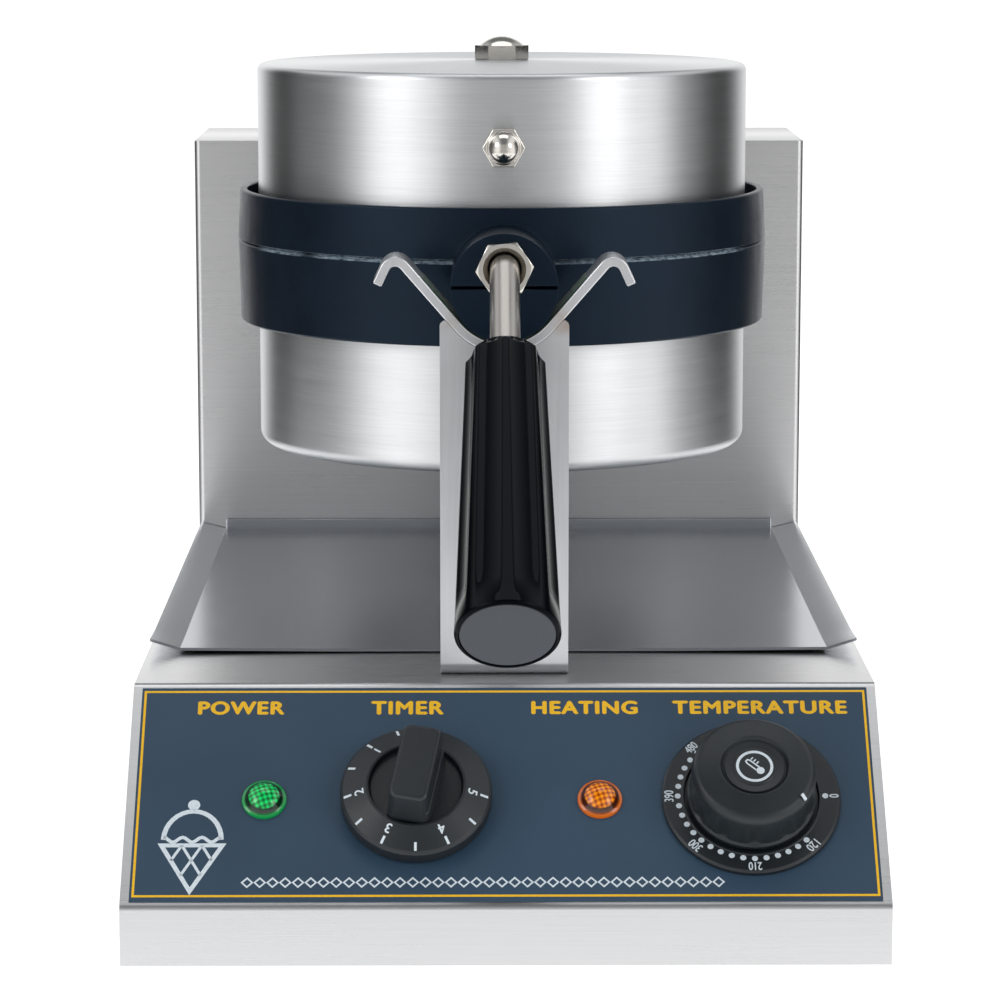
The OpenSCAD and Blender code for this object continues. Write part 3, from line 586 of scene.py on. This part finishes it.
def rounded(points, steps=5):
    """An open line of (a, b, radius) points with its corners rounded."""
    line = []
    for i, (a, b, radius) in enumerate(points):
        here = Vector((a, b))
        if radius <= 0 or i in (0, len(points) - 1):
            line.append((a, b))
            continue
        back = (Vector(points[i - 1][:2]) - here).normalized()
        ahead = (Vector(points[i + 1][:2]) - here).normalized()
        half = back.angle(ahead) / 2
        centre = here + (back + ahead).normalized() * radius / math.sin(half)
        first = here + back * radius / math.tan(half) - centre
        last = here + ahead * radius / math.tan(half) - centre
        turn = first.angle_signed(last)
        for k in range(steps + 1):
            spoke = first.copy()
            spoke.rotate(Matrix.Rotation(-turn * k / steps, 2))
            line.append(tuple(centre + spoke))
    return line


def divided(line, step):
    """A profile with points added at about every step of height."""
    dense = [line[0]]
    for (r, h), (next_r, next_h) in zip(line, line[1:]):
        n = max(1, int(abs(next_h - h) / step))
        dense += [(r + (next_r - r) * k / n, h + (next_h - h) * k / n) for k in range(1, n + 1)]
    return dense


def lathe(profile, matrix, steps, wobble=None):
    """Turns (radius, height) points about the matrix's z. wobble(angle, r, h) gives a new r."""
    bm = bmesh.new()
    rings = []
    for r, h in profile:
        if r < 1e-6:
            rings.append([bm.verts.new(matrix @ Vector((0, 0, h)))])
            continue
        ring = []
        for k in range(steps):
            a = 2 * math.pi * k / steps
            radius = wobble(a, r, h) if wobble else r
            spoke = Vector((radius * math.cos(a), radius * math.sin(a), h))
            ring.append(bm.verts.new(matrix @ spoke))
        rings.append(ring)
    for low, high in zip(rings, rings[1:]):
        join(bm, low, high)
    return bm


def join(bm, low, high):
    """Faces between two closed rings of vertices, either of which may be one point."""
    n = max(len(low), len(high))
    for k in range(n):
        j = (k + 1) % n
        corners = [
            low[k % len(low)], low[j % len(low)], high[j % len(high)], high[k % len(high)]
        ]
        kept = [v for i, v in enumerate(corners) if v not in corners[:i]]
        if len(kept) > 2:
            bm.faces.new(kept)


def stack(sections, matrix, bm):
    """Adds a closed solid through outlines: each section is (points, height)."""
    rings = [
        [bm.verts.new(matrix @ Vector((x, y, h))) for x, y in outline] for outline, h in sections
    ]
    for low, high in zip(rings, rings[1:]):
        join(bm, low, high)
    bm.faces.new(reversed(rings[0]))
    bm.faces.new(rings[-1])


def bar_outline(half_w, half_l, corner, steps=8):
    """A rectangle with rounded corners, counterclockwise."""
    outline = []
    for i, (sx, sy) in enumerate([(1, 1), (-1, 1), (-1, -1), (1, -1)]):
        for k in range(steps + 1):
            a = math.pi / 2 * (i + k / steps)
            outline.append((
                sx * (half_w - corner) + corner * math.cos(a),
                sy * (half_l - corner) + corner * math.sin(a),
            ))
    return outline


def ribbon(points, width, matrix, bm, height=PRINT_H, closed=False):
    """A printed line of constant width along points, with mitred corners."""
    n = len(points)
    left, right = [], []
    for i in range(n):
        here = Vector(points[i])
        back = Vector(points[i - 1]) if closed or i else None
        ahead = Vector(points[(i + 1) % n]) if closed or i < n - 1 else None
        u = (here - back).normalized() if back is not None else None
        w = (ahead - here).normalized() if ahead is not None else None
        u = u or w
        w = w or u
        normal = Vector((-(u + w).y, (u + w).x)).normalized()
        reach = width / 2 / max(0.3, normal.dot(Vector((-u.y, u.x))))
        left.append(here + normal * reach)
        right.append(here - normal * reach)
    pairs = [(k, (k + 1) % n) for k in range(n if closed else n - 1)]
    for low, high in pairs:
        outline = [tuple(p) for p in (left[low], left[high], right[high], right[low])]
        stack([(outline, 0.0), (outline, height)], matrix, bm)


def spot(x, y, radius, matrix, bm):
    """A printed dot."""
    outline = circle(radius, 20, x, y)
    stack([(outline, 0.0), (outline, PRINT_H)], matrix, bm)


def lettering(words, matrix, bm, height, weight, width=None, spacing=1.0):
    """Adds print of the given cap height, centred on the matrix's origin. Copies moved aside by
    weight, in mm, thicken its strokes."""
    extrude, step_up = 0.01, 0.002
    curve = bpy.data.curves.new("print", "FONT")
    curve.body = words
    curve.size = 1.0
    curve.space_character = spacing
    curve.extrude = extrude
    source = bpy.data.objects.new("print", curve)
    mesh = bpy.data.meshes.new_from_object(source)
    xs = [v.co.x for v in mesh.vertices]
    ys = [v.co.y for v in mesh.vertices]
    scale_y = height / (max(ys) - min(ys))
    scale_x = width / (max(xs) - min(xs)) if width else scale_y
    scale = Matrix.Diagonal((scale_x, scale_y, PRINT_H / (2 * extrude), 1.0))
    middle = Vector(((max(xs) + min(xs)) / 2, (max(ys) + min(ys)) / 2, 0))
    fit = scale @ Matrix.Translation(-middle)
    for step, (dx, dy) in enumerate([(0, 0), (1, 0), (-1, 0), (0, 0.7), (0, -0.7)]):
        copy = mesh.copy()
        moved = Matrix.Translation((dx * weight, dy * weight, PRINT_H / 2 + step_up * step))
        copy.transform(matrix @ moved @ fit)
        bm.from_mesh(copy)
        bpy.data.meshes.remove(copy)
    bpy.data.meshes.remove(mesh)
    bpy.data.objects.remove(source)
    bpy.data.curves.remove(curve)


def turned(matrix, angle, radius, height, tilt=0.0):
    """A frame at a polar place on a dial, with its y pointing outwards."""
    a = math.radians(angle)
    place = Matrix.Translation((radius * math.cos(a), radius * math.sin(a), height))
    spin = Matrix.Rotation(a - math.pi / 2, 4, "Z")
    return matrix @ place @ spin @ Matrix.Rotation(-math.radians(tilt), 4, "X")


# ---- panel print ----


def panel_print():
    sheet = on_panel(0) @ ON_FILM
    bm = bmesh.new()
    x, low, high = 120.8, 4.1, 84.6
    ribbon([(-x, low), (x, low), (x, high), (-x, high)], 0.8, sheet, bm, closed=True)
    labels = [
        ("POWER", -103.0, -73.8), ("TIMER", -44.9, -20.4), ("HEATING", 8.8, 44.7),
        ("TEMPERATURE", 56.2, 115.0),
    ]
    label_s, cap_height, stroke = 78.0, 5.0, 0.36
    for words, left, right in labels:
        middle = sheet @ Matrix.Translation(((left + right) / 2, label_s, 0))
        lettering(words, middle, bm, cap_height, stroke, right - left - 0.8, 1.12)
    add_solid("panel_labels", bm, "base", "overlay_film", YELLOW, weighted=False)

    bm = bmesh.new()
    cone_pictogram(sheet @ Matrix.Translation((-102.5, 21.5, 0)), bm)
    lattice_rule(sheet @ Matrix.Translation((0, 9.2, 0)), bm)
    add_solid("panel_ornament", bm, "base", "overlay_film", WHITE, weighted=False)


def cone_pictogram(place, bm):
    """A plain waffle cone: a pointed cone with a crossed lattice under a round scoop."""
    place = place @ Matrix.Scale(1.35, 4)
    top, tip, half = 1.5, -11.5, 7.4
    ribbon([(-half, top), (0, tip), (half, top)], 1.1, place, bm, closed=True)
    for start in (-0.33 * half, 0.33 * half):
        for side in (-1, 1):
            run = (half - side * start) / (2 * half)
            end = (start + side * half * run, top + run * (tip - top))
            ribbon([(start, top), end], 0.7, place, bm)
    foot, half_scoop, scoop_h = top + 1.6, 7.0, 8.2
    arc = [math.pi * k / 16 for k in range(17)]
    scoop = [(half_scoop * math.cos(a), foot + scoop_h * math.sin(a)) for a in arc]
    ribbon(scoop, 1.2, place, bm)
    drips = [
        (half_scoop * (k / 12 - 1), foot + 0.7 * math.cos(math.pi * k / 4)) for k in range(25)
    ]
    ribbon(drips, 0.9, place, bm)
    spot(0, top + 11.6, 1.5, place, bm)


def lattice_rule(place, bm):
    """A row of small diamonds, as on a waffle's face."""
    half, count, left, right = 1.7, 38, -84.0, 69.0
    for k in range(count):
        x = left + (right - left) * k / (count - 1)
        diamond = [(x - half, 0), (x, -half), (x + half, 0), (x, half)]
        ribbon(diamond, 0.55, place, bm, closed=True)


# ---- timer ----


def timer_knob():
    dial = on_panel(TIMER_X, CONTROL_S)
    foot = OVERLAY_T + 0.5
    rim_r, rim_h, brow_r, brow_h = 24.0, foot + 6.0, 16.4, foot + 9.4
    profile = rounded([
        (0, foot, 0), (24.6, foot, 0.3), (25.0, foot + 0.8, 0.3), (25.0, foot + 5.0, 0.8),
        (rim_r, rim_h, 0.8), (brow_r, brow_h, 0.6), (15.5, foot + 9.3, 0.3),
        (15.1, foot + 7.3, 0.5), (0, foot + 7.2, 0),
    ])
    bm = lathe(profile, dial, 128)
    bar = dial @ Matrix.Rotation(math.radians(-10.5), 4, "Z")
    top, edge, round_steps = foot + 22.6, 1.2, 5
    sections = [
        (bar_outline(7.6, 14.7, 3.0), foot + 5.0), (bar_outline(7.4, 14.6, 3.0), foot + 8.0),
        (bar_outline(7.0, 14.5, 2.9), foot + 13.0), (bar_outline(6.6, 14.4, 2.8), foot + 13.4),
    ]
    for k in range(round_steps + 1):
        a = math.pi / 2 * k / round_steps
        inset = edge * (1 - math.cos(a))
        outline = bar_outline(6.4 - inset, 14.3 - inset, 2.7 - inset * 0.7)
        sections.append((outline, top - edge + edge * math.sin(a)))
    stack(sections, bar, bm)
    add_solid("timer_knob_body", bm, "timer", "knob_black", stands_for=("timer_knob",))

    bm = bmesh.new()
    mark_r, digit_r, half_mark = 22.6, 18.8, 1.4
    rise = (brow_h - rim_h) / (rim_r - brow_r)
    slope = math.degrees(math.atan(rise))
    for index, angle in enumerate([106, 133, 160, 188, 215, 242, 270, 297, 325, 352]):
        mark = turned(dial, angle, mark_r, rim_h + rise * (rim_r - mark_r), slope)
        ribbon([(0, -half_mark), (0, half_mark)], 0.85, mark, bm, height=0.05)
        if index % 2:
            digit = turned(dial, angle, digit_r, rim_h + rise * (rim_r - digit_r), slope)
            lettering(str(index // 2 + 1), digit, bm, 3.2, 0.1)
    add_solid("timer_numbers", bm, "timer", "knob_black", WHITE, weighted=False)


# ---- temperature control ----


def temperature_dial():
    dial = on_panel(TEMPERATURE_X, CONTROL_S)
    face = OVERLAY_T + 2.2
    slot = SLOT_OF["temperature_ring"]
    profile = rounded([
        (6, OVERLAY_T, 0), (29.5, OVERLAY_T, 0), (29.5, OVERLAY_T + 1.5, 0.3), (28.7, face, 0.5),
        (23.2, face, 0.2), (22.9, face + 0.3, 0.15), (22.3, face + 0.3, 0.15),
        (22.1, face - 1.2, 0.2), (6, face - 1.2, 0), (6, OVERLAY_T, 0),
    ])
    bm = lathe(profile, dial, 128)
    add_solid("temperature_scale", bm, "base", slot, stands_for=("temperature_ring",))

    bm = bmesh.new()
    dot_r, number_r, digit_w, gap = 24.3, 27.2, 1.3, 0.2
    for angle in [0] + [-45 - 9 * k for k in range(21)]:
        spot(0, 0, 1.0, turned(dial, angle, dot_r, face), bm)
    numbers = [("0", 0), ("120", -45), ("210", -90), ("300", -135), ("390", -180), ("480", -225)]
    for words, angle in numbers:
        width = digit_w * len(words) + gap * (len(words) - 1)
        lettering(words, turned(dial, angle, number_r, face), bm, 3.0, 0.06, width)
    add_solid("temperature_numbers", bm, "base", slot, WHITE, weighted=False)


def temperature_knob():
    dial = on_panel(TEMPERATURE_X, CONTROL_S)
    height = 18.0
    foot = OVERLAY_T + 2.6
    top = foot + height

    def fluted(angle, r, h):
        """Twelve shallow scallops that run out below the shoulder."""
        rise = (h - foot) / height
        fade = clamp((rise - 0.1) / 0.08) * clamp((0.7 - rise) / 0.25)
        wave = max(0.0, math.cos(12 * angle)) ** 1.3
        return r - 0.8 * wave * fade if r > 17 else r

    profile = rounded([
        (0, foot, 0), (21.2, foot, 0.3), (21.3, foot + 1.6, 0.4), (20.6, foot + 2.4, 0.4),
        (20.4, foot + 13.5, 0), (20.1, top - 1.9, 3.2), (11.3, top - 0.1, 0.6),
        (10.4, top - 1.6, 0.5), (0, top - 1.6, 0),
    ], 8)
    bm = lathe(divided(profile, 0.9), dial, 192, fluted)
    add_solid(
        "temperature_knob_body", bm, "thermostat", "knob_rubber", stands_for=("temperature_knob",)
    )

    slot = SLOT_OF["temperature_knob_cap"]
    profile = rounded([
        (0, top - 1.7, 0), (9.9, top - 1.7, 0), (9.9, top - 1.0, 0.3), (7.2, top - 1.25, 0.6),
        (6.9, top - 0.9, 0.2), (0, top - 0.85, 0),
    ])
    bm = lathe(profile, dial, 96)
    add_solid("temperature_cap", bm, "thermostat", slot, stands_for=("temperature_knob_cap",))

    bm = bmesh.new()
    badge = dial @ Matrix.Translation((0, 0, top - 0.86))
    ribbon(circle(5.6, 48), 0.95, badge, bm, closed=True)
    thermometer(badge @ Matrix.Rotation(math.radians(48), 4, "Z"), bm)
    pointer = turned(dial, -37, 19.2, top - 1.5, 48)
    ribbon([(0, -1.3), (0, 1.2)], 0.95, pointer, bm, height=0.5)
    add_solid("temperature_badge", bm, "thermostat", slot, WHITE, weighted=False)


def thermometer(place, bm):
    """A generic thermometer: a bulb, a stem and three short marks."""
    spot(0, -2.5, 1.35, place, bm)
    stem = [(-0.75, -1.5), (-0.75, 2.6), (-0.4, 3.4), (0.4, 3.4), (0.75, 2.6), (0.75, -1.5)]
    ribbon(stem, 0.5, place, bm)
    for y in (0.2, 1.4, 2.6):
        ribbon([(1.2, y), (2.3, y)], 0.45, place, bm)


# ---- pilot lamps ----


def lamp(x, node):
    """A domed lens on a low skirt."""
    skirt = [(0, 0), (7.35, 0), (7.4, 0.5), (7.2, 0.95)]
    dome = []
    for degrees in range(32, 90, 4):
        cos, sin = math.cos(math.radians(degrees)), math.sin(math.radians(degrees))
        dome.append((max(0.0, 7.5 * cos - 0.3 * (1 - cos)), 7.4 * sin - 2.6))
    bm = lathe(skirt + dome + [(0, 4.8)], on_panel(x, CONTROL_S) @ ON_FILM, 64)
    add_solid(node + "_dome", bm, "base", SLOT_OF[node], stands_for=(node,), weighted=False)


# ---- handle ----


def handle():
    near_end, far_end, slim_r, lean = 40.0, 155.0, 13.0, 3.5 / 116

    def fluted(angle, r, h):
        """Eight round flutes with softened arrises, which run out near the wide end."""
        if r < 11.6 or h < near_end + 0.3 or h > far_end - 0.4:
            return r
        flutes, cutter = 8, 14.0
        pitch = 2 * math.pi / flutes
        centre = r + 12.7
        part = angle % pitch - pitch / 2
        inside = cutter ** 2 - (centre * math.sin(part)) ** 2
        cut = centre * math.cos(part) - math.sqrt(inside) if inside > 0 else r
        fade = clamp((far_end - 4.0 - h) / 7.0)
        return r - max(0.0, r - cut) * fade * fade * (3 - 2 * fade)

    profile = rounded([
        (5.2, near_end + 0.2, 0), (10.6, near_end, 1.5), (slim_r, near_end + 2.6, 2.2),
        (slim_r + lean * 110, far_end - 2.5, 0), (16.5, far_end, 1.0), (15.6, far_end + 0.9, 0.5),
        (15.1, far_end + 0.7, 0.15), (15.0, far_end - 0.4, 0), (0, far_end - 0.4, 0),
    ], 6)
    bm = lathe(divided(profile, 4.0), HANDLE, 192, fluted)
    add_solid(
        "handle_grip_body", bm, "upper_head", "grip_black", stands_for=("handle_grip",),
        weighted=False,
    )

    profile = rounded([
        (0, far_end - 0.5, 0), (14.9, far_end - 0.5, 0), (14.9, far_end + 0.5, 0.3),
        (0, far_end + 0.7, 0),
    ])
    bm = lathe(profile, HANDLE, 96)
    add_solid("grip_end_disc", bm, "upper_head", "grip_end_grey", stands_for=("grip_end_cap",))

    rod_r, bend_r, reach = 5.0, 9.0, 60.0
    tip = (BEND_Y - reach * math.cos(FALL), BEND_H - reach * math.sin(FALL), 0)
    bm = sweep(rounded([(101.0, BEND_H, 0), (BEND_Y, BEND_H, bend_r), tip], 12), rod_r, 40)
    add_solid(
        "handle_rod_bent", bm, "upper_head", "rod_steel", stands_for=("handle_rod",),
        weighted=False,
    )


def sweep(path, radius, steps):
    """A round rod along (y, z) points in the plane x = 0."""
    bm = bmesh.new()
    rings = []
    for i, here in enumerate(path):
        back, ahead = Vector(path[max(i - 1, 0)]), Vector(path[min(i + 1, len(path) - 1)])
        run = (ahead - back).normalized()
        rings.append([
            bm.verts.new(at(side, here[0] - up * run.y, here[1] + up * run.x))
            for side, up in circle(radius, steps)
        ])
    for low, high in zip(rings, rings[1:]):
        join(bm, low, high)
    bm.faces.new(rings[0])
    bm.faces.new(rings[-1])
    return bm


# ---- head shells ----


def shell(node, matrix, length, edge):
    """A spun cup with a rolled edge, a faint crown and a plain inside."""
    r, t, crown_r, hole_r = SHELL_R, 1.2, 50, 4.3
    crown_h, top = length + CROWN * 0.55, length + CROWN
    outside = rounded([
        (r, FLANGE_H, 0), (r, length, edge), (crown_r, crown_h, 0), (hole_r, top, 0),
    ], 14)
    inside = rounded([
        (hole_r, top - t, 0), (crown_r, crown_h - t, 0),
        (r - t, length - t, max(0.5, edge - t)), (r - t, FLANGE_H, 0),
    ], 14)
    wall = [(r, FLANGE_H + (length - edge - FLANGE_H) * k / 8) for k in range(8)]
    bm = lathe(wall + outside[1:] + inside + [wall[0]], matrix, 192)
    add_solid(
        node + "_spun", bm, BODY_OF[node], SLOT_OF[node], stands_for=(node,), smooth=50
    )


# ---- drip tray ----


def drip_tray():
    """A thin tray: rolled creases, turned-up sides and front corners bent a little upwards."""
    floor, half, side, rise, thick = DECK_H + 0.6, 124.0, 10.5, 2.6, 1.0
    front, back, curl, crease = 115.0, 362.2, 1.1, 1.6
    section = rounded([
        (-half, floor + rise, 0), (side - half, floor, crease), (-60, floor, 0), (0, floor, 0),
        (60, floor, 0), (half - side, floor, crease), (half, floor + rise, 0),
    ], 4)
    stations = [front + (back - front) * (k / 28) ** 1.6 for k in range(29)]
    bm = bmesh.new()
    layers = []
    for lift in (0.0, thick):
        rows = []
        for y in stations:
            row = []
            for x, z in section:
                near = max(0.0, 1 - (y - front) / 26.0) ** 2
                corner = max(0.0, (abs(x) - 96.0) / 28.0) ** 2
                row.append(bm.verts.new(at(x, y, z + lift + curl * near * corner)))
            rows.append(row)
        layers.append(rows)
    for rows in layers:
        for low, high in zip(rows, rows[1:]):
            for k in range(len(section) - 1):
                bm.faces.new([low[k], low[k + 1], high[k + 1], high[k]])
    bottom, top = layers
    for end in (0, -1):
        for k in range(len(section) - 1):
            bm.faces.new([bottom[end][k], bottom[end][k + 1], top[end][k + 1], top[end][k]])
        for j in range(len(stations) - 1):
            bm.faces.new([bottom[j][end], bottom[j + 1][end], top[j + 1][end], top[j][end]])
    lip = bar_outline(half - side, 0.5, 0.3, 3)
    place = axes((0, back - 0.5, floor + 0.2), (1, 0, 0), (0, 1, 0), (0, 0, 1))
    lip_top = bar_outline(half - side - 0.2, 0.3, 0.2, 3)
    stack([(lip, 0.0), (lip, 4.4), (lip_top, 4.8)], place, bm)
    add_solid("drip_tray_sheet", bm, "tray", "tray_steel", stands_for=("drip_tray",), smooth=30)


panel_print()
timer_knob()
temperature_dial()
temperature_knob()
lamp(POWER_X, "power_lamp_lens")
lamp(HEATING_X, "heating_lamp_lens")
handle()
shell("upper_shell", UPPER, 63.2, 2.5)
shell("lower_shell", LOWER, 75.4, 4.5)
drip_tray()

# Edge rounding in mm of the nodes whose own shape is kept
EDGES = {
    "base_shell": 0.5, "column_shell": 0.4, "column_back_cover": 0.5, "bottom_plate": 0.4,
    "rubber_feet": 0.8, "foot_screws": 0.3, "control_overlay": 0.12, "cable_gland": 0.5,
    "cradle_bracket": 0.45, "cradle_strap": 0.5, "cradle_liner": 0.1, "bracket_screws": 0.4,
    "back_cover_screws": 0.35, "lower_ring": 0.8, "upper_ring": 0.8, "handle_nut": 0.45,
    "lower_cap_nut": 0.5, "upper_cap_nut": 0.5, "lower_acorn_nut": 0.45, "upper_acorn_nut": 0.45,
    "hinge_yoke": 1.0, "hinge_leaf": 1.0, "hinge_pin": 0.4, "yoke_screws": 0.35,
    "pivot_shaft": 0.4, "shaft_collar": 0.4, "bearing_housing": 0.8, "bearing_bush": 0.3,
    "bearing_screws": 0.3, "lower_plate": 0.3, "upper_plate": 0.3,
}
done = {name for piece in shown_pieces() for name in piece.get("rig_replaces", [])}
for node in sorted(NODES):
    if node not in done:
        soften(node, EDGES.get(node, 0.3))


# ---- camera, floor and light ----


def camera():
    data = bpy.data.cameras.new("camera")
    data.lens, data.sensor_width = 132.76, 36.0
    view = bpy.data.objects.new("camera", data)
    view.location = (-0.009843, -1.353951, 0.347968)
    view.rotation_euler = (math.radians(80.586), 0.0, math.radians(-0.389))
    bpy.context.scene.collection.objects.link(view)
    bpy.context.scene.camera = view
    bpy.context.scene.view_settings.view_transform = "Standard"


# Brightness of the studio by bearing in degrees: 0 is in front of the object and positive is to
# its right
STUDIO = [
    (-180, 0.98), (-165, 0.92), (-154, 0.76), (-143, 0.34), (-134, 0.05), (-118, 0.02), (-110, 0.1),
    (-92, 0.13), (-82, 0.2), (-71, 0.5), (-60, 0.82), (-50, 0.95), (-32, 0.95), (-25, 0.62),
    (-18, 0.42), (16, 0.4), (28, 0.6), (40, 0.76), (54, 0.9), (74, 0.95), (82, 0.62), (91, 0.26),
    (104, 0.13), (112, 0.03), (130, 0.02), (138, 0.16), (149, 0.52), (160, 0.78), (180, 0.98),
]
SCREEN_LEVEL = 1.2


def screens(nodes, x, y):
    """The studio's bright screens, dimmer front and dark flags, by direction."""
    part = nodes.math("MULTIPLY_ADD", nodes.bearing(x, y), 0.5 / math.pi, 0.5)
    levels = nodes.ramp(part, [((degrees + 180) / 360, level) for degrees, level in STUDIO])
    return nodes.node("VectorMath", {0: levels, "Scale": SCREEN_LEVEL}, "Vector", operation="SCALE")


def floor():
    """Pale paper, lit everywhere but in a patch in front of the object. Polished metal mirrors
    the screens in place of the paper that lies further out."""
    bm = bmesh.new()
    bmesh.ops.create_circle(bm, cap_ends=True, segments=96, radius=40.0)
    mesh = to_mesh(bm, "floor")
    ground = bpy.data.objects.new("floor", mesh)
    bpy.context.scene.collection.objects.link(ground)
    finish = Finish("floor_paper", (0.9, 0.9, 0.9), 0.9, Specular_IOR_Level=0.2)
    x, y, _ = finish.parts(finish.place)
    away = finish.length(x, y)
    glossy = finish.node("LightPath", {}, "Is Glossy Ray")
    mirrored = finish.times(glossy, finish.band(away, 0.45, 0.6))
    cloud = finish.noise(finish.scaled((1.5,) * 3), 2.0)
    paper = finish.ramp(cloud, [(0.3, (0.89, 0.89, 0.895)), (0.7, (0.92, 0.92, 0.92))])
    finish.put("Base Color", finish.mix(mirrored, paper, (0, 0, 0, 1)))
    behind, far = finish.band(y, -0.8, -0.28), finish.band(away, 0.7, 1.3)
    level = finish.times(finish.math("MAXIMUM", behind, far), 0.62)
    lit = finish.combined(level, level, level)
    finish.put("Emission Color", finish.mix(mirrored, lit, screens(finish, x, y)))
    finish.put("Emission Strength", 1.0)
    mesh.materials.append(finish.material)
    ground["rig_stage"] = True


def room():
    """The same screens all round, under a ceiling that is grey in the middle and bright to both
    sides."""
    world = bpy.data.worlds.new("studio")
    bpy.context.scene.world = world
    world.use_nodes = True
    nodes = Nodes(world.node_tree)
    nodes.tree.nodes.clear()
    x, y, z = nodes.parts(nodes.coordinates("Generated"))
    side = nodes.band(nodes.absolute(x), 0.25, 0.7)
    ceiling = nodes.mix(side, (0.2, 0.21, 0.22, 1.0), (0.95, 0.96, 0.97, 1.0))
    colour = nodes.mix(nodes.band(z, 0.35, 0.6), screens(nodes, x, y), ceiling)
    background = nodes.node("Background", {"Color": colour, "Strength": 1.0})
    output = nodes.tree.nodes.new("ShaderNodeOutputWorld")
    nodes.tree.links.new(background, output.inputs["Surface"])


def softbox(name, place, aim, size, power):
    data = bpy.data.lights.new(name, "AREA")
    data.shape = "RECTANGLE"
    data.size, data.size_y = size
    data.energy = power
    light = bpy.data.objects.new(name, data)
    light.location = place
    light.rotation_euler = (Vector(aim) - Vector(place)).to_track_quat("-Z", "Y").to_euler()
    bpy.context.scene.collection.objects.link(light)


camera()
floor()
room()
softbox("left_box", (-1.5, -1.1, 1.1), (0, 0, 0.12), (0.8, 0.8), 6)
softbox("right_box", (1.4, -1.3, 0.9), (0, 0, 0.12), (0.7, 0.9), 5)
softbox("top_box", (0.0, 0.2, 2.2), (0, 0, 0.1), (1.6, 1.2), 8)
